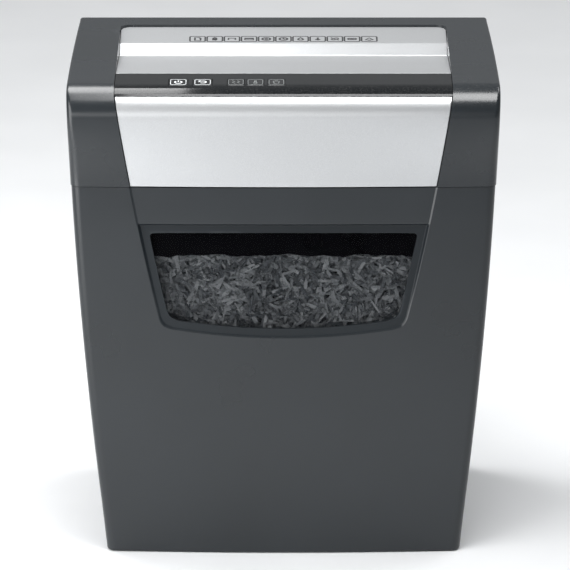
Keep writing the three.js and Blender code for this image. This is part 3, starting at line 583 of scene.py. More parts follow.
bin_piece = moulded(
    "bin_body",
    BIN_WALL,
    0.0004,
    *both_halves([*floor_rows, *foot_round[1:]]),
    *both_halves(lower_rows),
    *both_halves(middle_rows),
    *both_halves(upper_rows),
    pocket_rows,
)


def multiplied(tree, first, second):
    product = tree.nodes.new("ShaderNodeMath")
    product.operation = "MULTIPLY"
    tree.links.new(first, product.inputs[0])
    tree.links.new(second, product.inputs[1])
    return product.outputs[0]


def edge_wear_group():
    """Where edges are polished by hands and cloths."""
    group, inlet, outlet = started_group("edge_wear", {"Sharpness": 0.56, "Breakup Scale": 60.0}, ("Mask",))
    form = group.nodes.new("ShaderNodeNewGeometry")
    place = group.nodes.new("ShaderNodeTexCoord")
    breakup = noise(group, place.outputs["Object"], Detail=5.0)
    group.links.new(inlet.outputs["Breakup Scale"], breakup.inputs["Scale"])
    ridge = ranged(group, form.outputs["Pointiness"], 0.0, 1.0, 0.56, 0.64)
    group.links.new(inlet.outputs["Sharpness"], ridge.node.inputs["From Min"])
    patch = ranged(group, breakup.outputs[0], 0.0, 1.0, 0.38, 0.66)
    group.links.new(multiplied(group, ridge, patch), outlet.inputs["Mask"])
    return group


def settled_dust_group():
    """Specks of dust on faces that look up."""
    group, inlet, outlet = started_group("settled_dust", {"Amount": 0.2, "Speck Scale": 700.0}, ("Mask",))
    form = group.nodes.new("ShaderNodeNewGeometry")
    place = group.nodes.new("ShaderNodeTexCoord")
    split = group.nodes.new("ShaderNodeSeparateXYZ")
    group.links.new(form.outputs["Normal"], split.inputs[0])
    upward = ranged(group, split.outputs["Z"], 0.0, 1.0, 0.3, 1.0)
    specks = noise(group, place.outputs["Object"], Detail=6.0, Roughness=0.75)
    group.links.new(inlet.outputs["Speck Scale"], specks.inputs["Scale"])
    sparse = ranged(group, specks.outputs[0], 0.0, 1.0, 0.5, 0.8)
    settled_specks = multiplied(group, upward, sparse)
    group.links.new(multiplied(group, settled_specks, inlet.outputs["Amount"]), outlet.inputs["Mask"])
    return group


edge_wear = edge_wear_group()
settled_dust = settled_dust_group()
DUST_TONE = (0.46, 0.45, 0.43)


def moulded_plastic(
    name, dark, light, gloss, grain=900.0, relief=MOULD_RELIEF, worn=None, dust=0.12, **fixed
):
    """Moulded plastic: gloss is the roughness of its smooth and dull patches."""
    material, tree, surface = blank_finish(name)
    spark = placed(tree, mould_grain, Grain_Scale=grain, Cloud_Scale=7.0)
    edges = placed(tree, edge_wear)
    film = placed(tree, settled_dust, Amount=dust)
    cloud = spark.outputs["Cloud"]
    polished = tuple(min(1.0, c * 1.5 + 0.02) for c in light) if worn is None else worn
    tone = blended(tree, patches(tree, cloud), dark, light)
    tone = blended(tree, ranged(tree, edges.outputs["Mask"], 0.0, 0.55), tone, polished)
    tone = blended(tree, film.outputs["Mask"], tone, DUST_TONE)
    tree.links.new(tone, surface.inputs["Base Color"])
    tree.links.new(patches(tree, cloud, *gloss), surface.inputs["Roughness"])
    tree.links.new(bumped(tree, spark.outputs["Height"], relief), surface.inputs["Normal"])
    set_inputs(surface, fixed)
    return material


CHARCOAL_DARK = (0.009, 0.012, 0.0145)
CHARCOAL_LIGHT = (0.012, 0.0155, 0.019)
bin_plastic = moulded_plastic(
    "bin_plastic", CHARCOAL_DARK, CHARCOAL_LIGHT, (0.26, 0.33),
    Specular_IOR_Level=0.4, Coat_Weight=0.2, Coat_Roughness=0.22,
)
pocket_plastic = moulded_plastic(
    "pocket_plastic", CHARCOAL_DARK, CHARCOAL_LIGHT, (0.34, 0.42),
    grain=1300.0, relief=4e-5, Specular_IOR_Level=0.25,
)
POCKET_DEEPEST = 0.02
bin_piece.data.materials.append(bin_plastic)
bin_piece.data.materials.append(pocket_plastic)
for face in bin_piece.data.polygons:
    x, y, z = face.center
    sunk = 0.6 * POCKET_FOOT_DEPTH < y - face_y(x, z, BIN_STEP) < POCKET_DEEPEST
    if sunk and POCKET_FOOT_Z < z < POCKET_TOP_Z and abs(x) < inset_half(z):
        face.material_index = 1
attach(bin_piece, "bin")
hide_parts("bin_shell")


# ---- window pane -------------------------------------------------------------------------------
# A flat sheet of smoked clear plastic behind the window opening. It laps the pocket's floor a
# little all round, and is held there from inside the bin.
PANE_LOW, PANE_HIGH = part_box("window_pane")
PANE_LAP = 0.0029
pane_ring = pocket_ring(WINDOW_BORDER - PANE_LAP, WINDOW_TOP_Z + PANE_LAP, WINDOW_CORNER_R, *ring_shares)
pane_middle = (WINDOW_TOP_Z + POCKET_FOOT_Z) / 2
pane_rows = [
    [(x * share, PANE_LOW.y, pane_middle + (z - pane_middle) * share) for x, z in [*pane_ring, pane_ring[0]]]
    for share in (0.0, 0.5, 0.9, 1.0)
]
pane_piece = moulded("smoked_pane", PANE_HIGH.y - PANE_LOW.y, 0.0003, pane_rows)
smoked_window = moulded_plastic(
    "smoked_window", (0.002, 0.002, 0.003), (0.003, 0.003, 0.004), (0.05, 0.09),
    grain=500.0, relief=4e-6, dust=0.0, Alpha=0.38, Specular_IOR_Level=0.04,
)
pane_piece.data.materials.append(smoked_window)
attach(pane_piece, "bin")
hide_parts("window_pane")


# ---- shredded paper ----------------------------------------------------------------------------
# Cross-cut pieces about 2 mm wide, curled and thrown at random. They press against the pane and
# lie on a slope towards the back, over a packed core of the same paper; the core is painted nearly
# black, as painted shade for the depths of the heap under the loose chips.
HEAP_LOW, HEAP_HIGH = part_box("shred_heap")
HEAP_REAR_Z = 0.172
HEAP_REAR_GAP = 0.003
HEAP_SIDE_GAP = 0.006
HEAP_LEVEL_Z = 0.2
SHRED_WIDTH = (0.0014, 0.0034)
SHRED_LENGTH = (0.008, 0.026)
SHRED_THICKNESS = 0.00012
SHREDS_AT_PANE = 3600
PANE_LAYER = 0.012
PANE_LAYER_GAP = 0.0028
PANE_LAYER_FOOT_Z = 0.180
PANE_LAYER_RISE = 0.006
PANE_LAYER_SIDE_GAP = 0.004
PANE_LAYER_DROP = 0.004
SHREDS_ON_TOP = 2600
TOP_LAYER_FRONT_GAP = 0.004
TOP_LAYER_REAR_GAP = 0.014
TOP_LAYER_SIDE_GAP = 0.016
TOP_LAYER_SINK = 0.007
TOP_LAYER = 0.005
RAGGED = 0.0016
STRAY = 0.0035
chance = random.Random(41)


def heap_top(y):
    """Height of the heap's slope at depth y."""
    share = (y - HEAP_LOW.y) / (rear_y(HEAP_LEVEL_Z) - HEAP_REAR_GAP - HEAP_LOW.y)
    return HEAP_HIGH.z + (HEAP_REAR_Z - HEAP_HIGH.z) * min(max(share, 0), 1)


def ragged_top(x, y):
    """The slope's height with the hollows and tufts of loose paper."""
    swell = math.sin(x * 93 + 1.3) + 0.7 * math.sin(x * 211 + 0.4) + 0.5 * math.sin(x * 467 + y * 120)
    return heap_top(y) + RAGGED * (swell / 2.2 + 1.0)


def shred(made, centre, across, along, width, length, curl):
    """One curled paper chip as a strip of thin quads."""
    across = across.normalized()
    facing = along.cross(across).normalized()
    along = across.cross(facing).normalized()
    edge_rows = []
    for share in spread(-0.5, 0.5, 3):
        lift = curl * length * (4 * share * share - 0.5)
        middle = centre + along * (share * length) + facing * lift
        edge_rows.append([made.verts.new(middle + across * (side * width / 2)) for side in (-1, 1)])
    for (a, b), (c, d) in zip(edge_rows, edge_rows[1:]):
        made.faces.new((a, b, d, c))


def thrown(made, centre, across, along, curl):
    """A chip of random width, length and curl."""
    width = chance.uniform(*SHRED_WIDTH)
    length = chance.uniform(*SHRED_LENGTH)
    shred(made, centre, across, along, width, length, chance.gauss(0, curl))


def random_turn(axis, spin, tilt):
    """A direction in the plane across axis, tilted out of it a little."""
    side = axis.orthogonal().normalized()
    other = axis.cross(side)
    angle = chance.uniform(0, spin)
    return (side * math.cos(angle) + other * math.sin(angle) + axis * chance.gauss(0, tilt)).normalized()


heap = bmesh.new()
pane_out = Vector((0, -1, 0))
for item in range(SHREDS_AT_PANE):
    depth = chance.random() ** 1.6 * PANE_LAYER
    z = chance.uniform(PANE_LAYER_FOOT_Z, HEAP_HIGH.z + PANE_LAYER_RISE)
    half = inset_half(z) - PANE_LAYER_SIDE_GAP
    x = chance.uniform(-half, half)
    centre = Vector((x, HEAP_LOW.y + PANE_LAYER_GAP + depth, z - PANE_LAYER_DROP * chance.random()))
    along = random_turn(pane_out, 2 * math.pi, 0.22)
    across = random_turn(along, 2 * math.pi, 0.0)
    if chance.random() < 0.8:
        across = (along.cross(pane_out) + pane_out * chance.gauss(0, 0.3)).normalized()
    thrown(heap, centre, across, along, 0.09)
heap_up = Vector((0, (HEAP_HIGH.z - HEAP_REAR_Z) / (2 * HALF_DEPTH), 1)).normalized()
top_run = rear_y(HEAP_LEVEL_Z) - TOP_LAYER_REAR_GAP - HEAP_LOW.y
top_half = half_width(HEAP_LEVEL_Z) - TOP_LAYER_SIDE_GAP
for item in range(SHREDS_ON_TOP):
    y = HEAP_LOW.y + TOP_LAYER_FRONT_GAP + top_run * chance.random()
    x = chance.uniform(-top_half, top_half)
    centre = Vector((x, y, heap_top(y) - TOP_LAYER_SINK + TOP_LAYER * chance.random()))
    along = random_turn(heap_up, 2 * math.pi, 0.25)
    across = (along.cross(heap_up) + heap_up * chance.gauss(0, 0.4)).normalized()
    thrown(heap, centre, across, along, 0.12)
for vertex in heap.verts:
    limit = half_width(vertex.co.z) - HEAP_SIDE_GAP
    vertex.co.x = min(max(vertex.co.x, -limit), limit)
    vertex.co.y = min(max(vertex.co.y, HEAP_LOW.y + 0.0004), HEAP_HIGH.y - 0.001)
    vertex.co.z = min(max(vertex.co.z, HEAP_LOW.z), ragged_top(vertex.co.x, vertex.co.y) + STRAY)
shreds_piece = as_object("shreds", heap)
shreds_piece.data.shade_flat()
thickened(shreds_piece, SHRED_THICKNESS)

CORE_FRONT_GAP = 0.009
CORE_REAR_GAP = 0.011
CORE_SIDE_GAP = 0.012
CORE_SINK = 0.009
CORE_SWELL = 0.0025
CORE_FOOT_Z = 0.02
CORE_FOOT_SHARE = 0.86


def core_row(share):
    """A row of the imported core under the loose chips, from left to right."""
    y = HEAP_LOW.y + CORE_FRONT_GAP + (HEAP_HIGH.y - CORE_REAR_GAP - HEAP_LOW.y - CORE_FRONT_GAP) * share
    half = half_width(HEAP_LEVEL_Z) - CORE_SIDE_GAP
    row = []
    for x in spread(-half, half, 60):
        swell = CORE_SWELL * math.sin(x * 310 + y * 170) * math.sin(x * 140 - y * 260)
        row.append((x, y, heap_top(y) - CORE_SINK + swell))
    return row


core_top = [core_row(share) for share in spread(0, 1, 44)]
core_front = []
for share in spread(0, 1, 12):
    narrowed = CORE_FOOT_SHARE + (1 - CORE_FOOT_SHARE) * smooth(share)
    row = [(x * narrowed, y, CORE_FOOT_Z + (z - CORE_FOOT_Z) * share) for x, y, z in core_top[0]]
    core_front.append(row)
core_piece = skin("packed_core", [*core_front, *core_top[1:]])


def paper(name, dark, light):
    """Sheets of different greys with patches of print, one tone to a chip."""
    material, tree, surface = blank_finish(name)
    form = tree.nodes.new("ShaderNodeNewGeometry")
    fibre = placed(tree, mould_grain, Grain_Scale=1500.0, Cloud_Scale=260.0)
    sheet_tone = blended(tree, form.outputs["Random Per Island"], dark, light)
    print_mask = ranged(tree, fibre.outputs["Cloud"], 0.0, 0.55, 0.52, 0.62)
    tone = blended(tree, print_mask, sheet_tone, tuple(c * 0.35 for c in dark))
    tree.links.new(tone, surface.inputs["Base Color"])
    tree.links.new(ranged(tree, fibre.outputs["Height"], 0.8, 0.98), surface.inputs["Roughness"])
    tree.links.new(bumped(tree, fibre.outputs["Height"], 4e-5), surface.inputs["Normal"])
    return material


shreds_piece.data.materials.append(paper("shred_paper", (0.16, 0.18, 0.20), (0.78, 0.82, 0.85)))
# The core's paper is painted nearly black: painted shade for the depths under the loose chips, not a darker
# paper.
core_piece.data.materials.append(paper("core_paper_painted_shade", (0.03, 0.03, 0.032), (0.05, 0.05, 0.053)))
for piece in (shreds_piece, core_piece):
    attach(piece, "bin")
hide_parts("shred_heap")


# ---- head housing ------------------------------------------------------------------------------
# One charcoal frame that carries everything above the bin: two arms down the front, a wide roll
# over the brow, side walls and back. Moulded as a thin shell, with nine air slots, the mains
# switch's opening and the cord's hole cut through the back wall.
HOUSING_WALL = 0.0024
TOP_EDGE_R = 0.0025
ROLL_EDGE_R = 0.005
PANEL_HALF = 0.1405
PANEL_CORNER_R = 0.009
PANEL_REAR_Y = 0.097
BROW_Y = FRONT_Y + BROW_R
TOP_BACK_Y = HALF_DEPTH - TOP_EDGE_R
EDGE_TOP_Z = HEIGHT - TOP_EDGE_R
ARM_COLUMNS_HEAD = 6


def brow(degrees, inset=0.0):
    """A point of the roll over the brow: 0 faces the front, 90 faces up."""
    radius = BROW_R - inset
    return (
        BROW_Y - radius * math.cos(math.radians(degrees)),
        BROW_Z + radius * math.sin(math.radians(degrees)),
    )


def side_x(y, z):
    """Outer face of the side wall."""
    corner_y = front_y(z) + FRONT_BOW + FRONT_EDGE_R
    t = (y - corner_y) / (rear_y(z) - REAR_EDGE_R - corner_y)
    return half_width(z) - REAR_TAPER * min(max(t, 0), 1) ** 2


def across_arm(base, inward, radius, inner_x):
    """A row over the arm: from its inner edge to the rounded side edge and into the side wall."""
    def outer_at(depth):
        return side_x(base[0] + inward[0] * depth, base[1] + inward[1] * depth)

    row = []
    for x in spread(inner_x, outer_at(0) - radius, ARM_COLUMNS_HEAD):
        bow = face_y(x, base[1]) - front_y(base[1]) if inward == (1.0, 0.0) else 0.0
        row.append((x, base[0] + bow, base[1]))
    bow = row[-1][1] - base[0]
    for angle in spread(0, 90, 8)[1:]:
        depth = radius * (1 - math.cos(math.radians(angle)))
        y = base[0] + inward[0] * depth + bow
        z = base[1] + inward[1] * depth
        row.append((outer_at(depth) - radius * (1 - math.sin(math.radians(angle))), y, z))
    return row


ARM_EASE_Z = 0.345
ARM_EASE_RUN = 0.037
front_rows = []
for z in spread(SEAM_Z, BROW_Z, 8)[:-1]:
    radius = FRONT_EDGE_R - 0.003 * smooth((z - ARM_EASE_Z) / ARM_EASE_RUN)
    front_rows.append(across_arm((front_y(z), z), (1.0, 0.0), radius, inset_half(z)))
for angle in spread(0, 90, 18):
    turn = math.radians(angle)
    y, z = brow(angle)
    radius = ROLL_EDGE_R - (ROLL_EDGE_R - TOP_EDGE_R) * smooth(angle / 70)
    inner = inset_half(z) + (PANEL_HALF - INSET_TOP_HALF) * smooth(angle / 60)
    front_rows.append(across_arm((y, z), (math.cos(turn), -math.sin(turn)), radius, inner))


def opening_half(y, back_y, corner_r, half):
    """Half width at y of an opening or panel with rounded rear corners."""
    into = y - (back_y - corner_r)
    if into <= 0:
        return half
    return half - corner_r + math.sqrt(max(corner_r**2 - into**2, 0))


def top_inner_x(y):
    return opening_half(y, PANEL_REAR_Y, PANEL_CORNER_R, PANEL_HALF)


corner_ys = [PANEL_REAR_Y - PANEL_CORNER_R * (1 - math.sin(math.radians(a))) for a in spread(0, 90, 10)]
top_ys = [*spread(BROW_Y, corner_ys[0], 12), *corner_ys[1:], *spread(PANEL_REAR_Y, TOP_BACK_Y, 4)[1:]]
top_rows = []
for y in top_ys:
    top_rows.append(across_arm((y, HEIGHT), (0.0, -1.0), TOP_EDGE_R, top_inner_x(min(y, PANEL_REAR_Y))))
frame_inner_x = top_inner_x(PANEL_REAR_Y)
corner_rows = []
for angle in spread(0, 90, 6):
    turn = math.radians(angle)
    base = (TOP_BACK_Y + TOP_EDGE_R * math.sin(turn), EDGE_TOP_Z + TOP_EDGE_R * math.cos(turn))
    corner_rows.append(across_arm(base, (-math.sin(turn), -math.cos(turn)), TOP_EDGE_R, frame_inner_x))
back_rows = []
for front in reversed(front_rows):
    z = front[-1][2]
    radius = TOP_EDGE_R + (REAR_EDGE_R - TOP_EDGE_R) * smooth((EDGE_TOP_Z - z) / 0.03)
    back_rows.append(across_arm((HALF_DEPTH, z), (-1.0, 0.0), radius, frame_inner_x))
side_rows = []
for front, back in zip(front_rows, reversed(back_rows)):
    start, end, z = front[-1][1], back[-1][1], front[-1][2]
    places = [start + (end - start) * (y - BROW_Y) / (TOP_BACK_Y - BROW_Y) for y in top_ys]
    side_rows.append([(side_x(place, z), place, z) for place in places])
centre_rows = [
    [(x, row[0][1], row[0][2]) for x in spread(0, frame_inner_x, 6)]
    for row in [*top_rows[top_ys.index(PANEL_REAR_Y):], *corner_rows[1:], *back_rows[1:]]
]
RIM_DEPTH = 0.0145
rim_ys = [y for y in top_ys if y <= corner_ys[0]]
rim_rows = [[(PANEL_HALF, y, HEIGHT - drop) for y in rim_ys] for drop in (0.0, 0.004, 0.009, RIM_DEPTH)]


def settled(piece):
    """Makes the modifiers' result the piece's own mesh."""
    seen = piece.evaluated_get(bpy.context.evaluated_depsgraph_get())
    mesh = bpy.data.meshes.new_from_object(seen)
    piece.modifiers.clear()
    piece.data = mesh


housing = moulded(
    "head_frame",
    HOUSING_WALL,
    0.0004,
    *both_halves(front_rows),
    *both_halves(top_rows),
    *both_halves(rim_rows),
    *both_halves(corner_rows),
    *both_halves(back_rows),
    *both_halves(side_rows),
    *both_halves(centre_rows),
)
settled(housing)


def outward_of(outline):
    """The outward direction at each corner of an anticlockwise outline."""
    directions = []
    for before, after in zip([outline[-1], *outline[:-1]], [*outline[1:], outline[0]]):
        length = math.hypot(after[0] - before[0], after[1] - before[1])
        directions.append(((after[1] - before[1]) / length, -(after[0] - before[0]) / length))
    return directions


def plug_along_y(outline, stations):
    """A closed plug: the outline in x and z, grown outwards at each (y, growth) station."""
    made = bmesh.new()
    rings = []
    for y, growth in stations:
        ring = []
        for (x, z), (nx, nz) in zip(outline, outward_of(outline)):
            ring.append(made.verts.new((x + nx * growth, y, z + nz * growth)))
        rings.append(ring)
    count = len(outline)
    for near, far in zip(rings, rings[1:]):
        for a in range(count):
            b = (a + 1) % count
            made.faces.new((near[a], near[b], far[b], far[a]))
    made.faces.new(rings[0])
    made.faces.new(rings[-1])
    bmesh.ops.recalc_face_normals(made, faces=made.faces)
    return as_object("opening_tool", made)


LIP_SPREAD = 0.0007
THROUGH_REAR_WALL = (
    (HALF_DEPTH - 0.012, 0.0),
    (HALF_DEPTH - 0.0005, 0.0),
    (HALF_DEPTH + 0.0002, LIP_SPREAD),
    (HALF_DEPTH + 0.004, LIP_SPREAD),
)


def cut_through_rear(outline):
    """Cuts an opening with a broken outer edge through the back wall."""
    tool = plug_along_y(outline, THROUGH_REAR_WALL)
    cut = housing.modifiers.new("cut", "BOOLEAN")
    cut.operation = "DIFFERENCE"
    cut.solver = "EXACT"
    cut.object = tool
    settled(housing)
    bpy.data.objects.remove(tool)


def rounded_box(x0, x1, z0, z1, radius):
    turns = [(x1 - radius, z0 + radius, 270), (x1 - radius, z1 - radius, 0),
             (x0 + radius, z1 - radius, 90), (x0 + radius, z0 + radius, 180)]
    return [point for x, z, start in turns for point in arc((x, z), radius, start, start + 90, 5)]


VENT_COUNT = 9
VENT_PITCH = 0.009
VENT_X = 0.010
VENT_HALF = 0.002
VENT_END_R = 0.0019
VENT_FOOT_Z = 0.340
VENT_TOP_Z = 0.372
FIT = 0.0003
GLAND_R = 0.0065
for vent in range(VENT_COUNT):
    x = VENT_X + (vent - (VENT_COUNT - 1) / 2) * VENT_PITCH
    cut_through_rear(rounded_box(x - VENT_HALF, x + VENT_HALF, VENT_FOOT_Z, VENT_TOP_Z, VENT_END_R))
low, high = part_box("mains_switch_frame")
cut_through_rear(rounded_box(low.x - FIT, high.x + FIT, low.z - FIT, high.z + FIT, 0.001))
low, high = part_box("cord_gland")
cut_through_rear(arc(((low.x + high.x) / 2, (low.z + high.z) / 2), GLAND_R + FIT, 0, 350, 35))

housing_plastic = moulded_plastic(
    "housing_plastic", CHARCOAL_DARK, CHARCOAL_LIGHT, (0.24, 0.31),
    Specular_IOR_Level=0.4, Coat_Weight=0.4, Coat_Roughness=0.22,
)
housing.data.set_sharp_from_angle(angle=math.radians(32))
normals = housing.modifiers.new("normals", "WEIGHTED_NORMAL")
normals.weight = 80
normals.keep_sharp = True
housing.data.materials.clear()
housing.data.materials.append(housing_plastic)
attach(housing, "head")
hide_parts("head_housing")


# ---- front fascia ------------------------------------------------------------------------------
# The silver plate between the arms: painted plastic with fine metal flake under a clear coat. It
# clips into the housing a little below the arms' surface and rolls over the brow.
PANEL_SET = 0.0012
PANEL_WALL = 0.0022
FASCIA_GAP = 0.0005
STRIP_SEAM = 47.0
SEAM_HALF_GAP = 0.6
fascia_rows = []
for z in [SEAM_Z + 0.0004, *spread(SEAM_Z + 0.004, BROW_Z, 16)]:
    half = inset_half(z) - FASCIA_GAP
    fascia_rows.append([(x, face_y(x, z, PANEL_SET), z) for x in spread(-half, half, 40)])
for angle in spread(0, STRIP_SEAM - SEAM_HALF_GAP, 12)[1:]:
    y, z = brow(angle, PANEL_SET)
    half = inset_half(z) - FASCIA_GAP
    fascia_rows.append([(x, y, z) for x in spread(-half, half, 40)])
fascia = moulded("fascia", PANEL_WALL, 0.0005, fascia_rows, segments=3)


def flake_paint(name, dark, light, gloss, metal, coat):
    """Silver paint: metal flake that glints, under a clear coat."""
    material, tree, surface = blank_finish(name)
    flake = placed(tree, mould_grain, Grain_Scale=2600.0, Cloud_Scale=5.0)
    edges = placed(tree, edge_wear)
    film = placed(tree, settled_dust, Amount=0.1)
    cloud = flake.outputs["Cloud"]
    tone = blended(tree, ranged(tree, flake.outputs["Height"], 0.0, 1.0, 0.35, 0.65), dark, light)
    tone = blended(tree, ranged(tree, cloud, 0.0, 0.25, 0.35, 0.7), tone, tuple(c * 0.9 for c in dark))
    tone = blended(tree, ranged(tree, edges.outputs["Mask"], 0.0, 0.3), tone, (0.85, 0.86, 0.87))
    tone = blended(tree, film.outputs["Mask"], tone, DUST_TONE)
    tree.links.new(tone, surface.inputs["Base Color"])
    tree.links.new(patches(tree, cloud, *gloss), surface.inputs["Roughness"])
    tree.links.new(bumped(tree, flake.outputs["Height"], 1.2e-5), surface.inputs["Normal"])
    set_inputs(surface, {"Metallic": metal, "Coat Weight": coat, "Coat Roughness": 0.12})
    return material


fascia_silver = flake_paint("fascia_silver", (0.52, 0.53, 0.54), (0.62, 0.63, 0.64), (0.32, 0.38), 0.75, 0.15)
fascia.data.materials.append(fascia_silver)
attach(fascia, "head")
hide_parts("front_fascia")


# ---- control strip, keys and lamp lenses -------------------------------------------------------
# A glossy black strip over the brow, with two keys and three lamp lenses that lie flush in it,
# each in a slot with a hair of clearance. The keys are sprung from below.
PANEL_GAP = 0.00035
STRIP_REAR_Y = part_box("control_strip")[1].y
KEY_FRONT_Y = -0.1035
KEY_REAR_Y = -0.0835
KEY_DEPTH = 0.004
KEY_NAMES = ("power_key", "reverse_key")
LENS_NAMES = ("jam_lens", "heat_lens", "bin_lens")
panel_half = PANEL_HALF - PANEL_GAP


def on_strip(y, inset=PANEL_SET):
    """Height of the strip's surface at y."""
    if y >= BROW_Y:
        return HEIGHT - inset
    return BROW_Z + math.sqrt((BROW_R - inset) ** 2 - (BROW_Y - y) ** 2)


slots_x = []
for name in (*KEY_NAMES, *LENS_NAMES):
    low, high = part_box(name)
    slots_x.append((low.x - FIT, high.x + FIT))
slot_ys = (KEY_FRONT_Y - FIT, KEY_REAR_Y + FIT)
roll_ys = [brow(angle, PANEL_SET)[0] for angle in spread(STRIP_SEAM + SEAM_HALF_GAP, 90, 12)[:-1]]
strip_xs = sorted({*spread(-panel_half, panel_half, 24), *[x for edges in slots_x for x in edges]})
strip_ys = sorted({*roll_ys, *spread(BROW_Y, STRIP_REAR_Y, 8), *slot_ys})
strip_piece = skin("strip", [[(x, y, on_strip(y)) for x in strip_xs] for y in strip_ys])


def in_slot(place):
    across = any(low < place.x < high for low, high in slots_x)
    return across and slot_ys[0] < place.y < slot_ys[1]


opened = bmesh.new()
opened.from_mesh(strip_piece.data)
for face in [face for face in opened.faces if in_slot(face.calc_center_median())]:
    opened.faces.remove(face)
opened.to_mesh(strip_piece.data)
opened.free()
thickened(strip_piece, PANEL_WALL)
broken_edges(strip_piece, 0.0003, angle=50)
black_gloss = moulded_plastic(
    "black_gloss", (0.007, 0.008, 0.009), (0.009, 0.010, 0.011), (0.06, 0.10),
    grain=300.0, relief=3e-6, dust=0.1, Specular_IOR_Level=0.3,
)
strip_piece.data.materials.append(black_gloss)
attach(strip_piece, "head")
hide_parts("control_strip")

smoked_lens = moulded_plastic(
    "smoked_lens", (0.012, 0.013, 0.014), (0.017, 0.018, 0.019), (0.05, 0.09),
    grain=300.0, relief=3e-6, dust=0.08,
)
for name in (*KEY_NAMES, *LENS_NAMES):
    low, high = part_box(name)
    cap_ys = spread(KEY_FRONT_Y, KEY_REAR_Y, 10)
    cap_rows = [[(x, y, on_strip(y)) for x in spread(low.x, high.x, 8)] for y in cap_ys]
    cap = moulded(name + "_cap", KEY_DEPTH, 0.0005, cap_rows, segments=3)
    is_key = name in KEY_NAMES
    cap.data.materials.append(black_gloss if is_key else smoked_lens)
    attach(cap, name + "_body" if is_key else "head")
    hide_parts(name)


# ---- printed signs on the strip ----------------------------------------------------------------
# Plain line signs, each in a rounded frame, printed as a thin layer of ink: light on the keys and
# grey on the lenses; the light ink on the keys also has a faint painted glow. A sign is drawn in a square
# from -1 to 1.
INK_LIFT = 0.00006
INK_THICKNESS = 0.00004
KEY_SIGN_HALF = 0.0064
LENS_SIGN_HALF = 0.0061
STRIP_SIGN_DEEP = 0.0083
FRAME_REACH = 0.72
FRAME_CORNER_R = 0.28


def circle(centre, radius, start=0, end=360, count=20):
    return arc(centre, radius, start, end, count)


def frame_line():
    turns = [(1, -1, 270), (1, 1, 0), (-1, 1, 90), (-1, -1, 180)]
    line = []
    for x, y, start in turns:
        line.extend(arc((x * FRAME_REACH, y * FRAME_REACH), FRAME_CORNER_R, start, start + 90, 5))
    return [*line, line[0]]


STRIP_SIGNS = {
    "power": [circle((0, -0.05), 0.45, 125, 415), [(0, 0.1), (0, 0.6)]],
    "reverse": [circle((0.05, 0), 0.4, -140, 130), [(-0.55, 0.05), (-0.2, 0.42), (-0.52, 0.66)]],
    "sheet_jam": [
        [(-0.5, 0.5), (-0.1, 0.15), (-0.5, -0.1), (-0.1, -0.5)],
        [(0.2, 0.5), (0.5, 0.2), (0.2, -0.1), (0.5, -0.45)],
    ],
    "heat": [circle((0, -0.35), 0.22), [(-0.1, -0.15), (-0.1, 0.55), (0.1, 0.55), (0.1, -0.15)]],
    "bin_full": [
        [(-0.5, 0.3), (0.5, 0.3)],
        [(-0.4, 0.3), (-0.3, -0.55), (0.3, -0.55), (0.4, 0.3)],
        [(-0.2, 0.55), (0.2, 0.55)],
    ],
}


def stroke(made, line, width, place):
    """A line of ink of even width, laid on a surface by place(u, v)."""
    closed = math.dist(line[0], line[-1]) < 1e-6
    points = line[:-1] if closed else line
    count = len(points)
    rails = []
    for a, (u, v) in enumerate(points):
        before = points[a - 1] if closed or a else points[a]
        after = points[(a + 1) % count] if closed or a < count - 1 else points[a]
        du = after[0] - before[0]
        dv = after[1] - before[1]
        length = math.hypot(du, dv)
        side = (-dv / length * width / 2, du / length * width / 2)
        left = made.verts.new(place(u + side[0], v + side[1]))
        rails.append([left, made.verts.new(place(u - side[0], v - side[1]))])
    for a in range(count if closed else count - 1):
        b = (a + 1) % count
        made.faces.new((rails[a][0], rails[a][1], rails[b][1], rails[b][0]))


def print_sign(made, lines, widths, place):
    """The sign's frame and its lines, in the two given stroke widths."""
    stroke(made, frame_line(), widths[0], place)
    for line in lines:
        stroke(made, line, widths[1], place)


def ink(name, tone, gloss, painted_glow=0.0):
    lighter = tuple(min(1, c * 1.1) for c in tone)
    material = moulded_plastic(name, tone, lighter, gloss, grain=1200.0, relief=1e-6, worn=tone, dust=0.0)
    surface = material.node_tree.nodes["Principled BSDF"]
    # The glow value is emission that paints extra brightness into the ink; the ink is no lamp.
    set_inputs(surface, {"Emission Color": (*tone, 1), "Emission Strength": painted_glow})
    return material


def printed(name, body, material, made):
    """The strokes drawn so far, turned up and given the ink's thickness."""
    bmesh.ops.recalc_face_normals(made, faces=made.faces)
    if sum(f.normal.z * f.calc_area() for f in made.faces) < 0:
        bmesh.ops.reverse_faces(made, faces=made.faces)
    piece = as_object(name, made)
    thickened(piece, INK_THICKNESS)
    piece.data.materials.append(material)
    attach(piece, body)


def strip_place(middle_x, half_wide):
    def place(u, v):
        y = (KEY_FRONT_Y + KEY_REAR_Y) / 2 + v * STRIP_SIGN_DEEP
        return Vector((middle_x + u * half_wide, y, on_strip(y, PANEL_SET - INK_LIFT)))

    return place


# The light ink on the keys gets a faint painted glow (emission), though nothing lights the keys.
light_ink = ink("light_ink", (0.74, 0.76, 0.77), (0.4, 0.5), 0.05)
grey_ink = ink("grey_ink", (0.16, 0.17, 0.17), (0.4, 0.5))
for name, lines in zip((*KEY_NAMES, *LENS_NAMES), STRIP_SIGNS.values()):
    low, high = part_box(name)
    middle_x = (low.x + high.x) / 2
    drawn = bmesh.new()
    if name in KEY_NAMES:
        print_sign(drawn, lines, (0.08, 0.19), strip_place(middle_x, KEY_SIGN_HALF))
        printed(name + "_sign", name + "_body", light_ink, drawn)
    else:
        print_sign(drawn, lines, (0.09, 0.15), strip_place(middle_x, LENS_SIGN_HALF))
        printed(name + "_sign", "head", grey_ink, drawn)


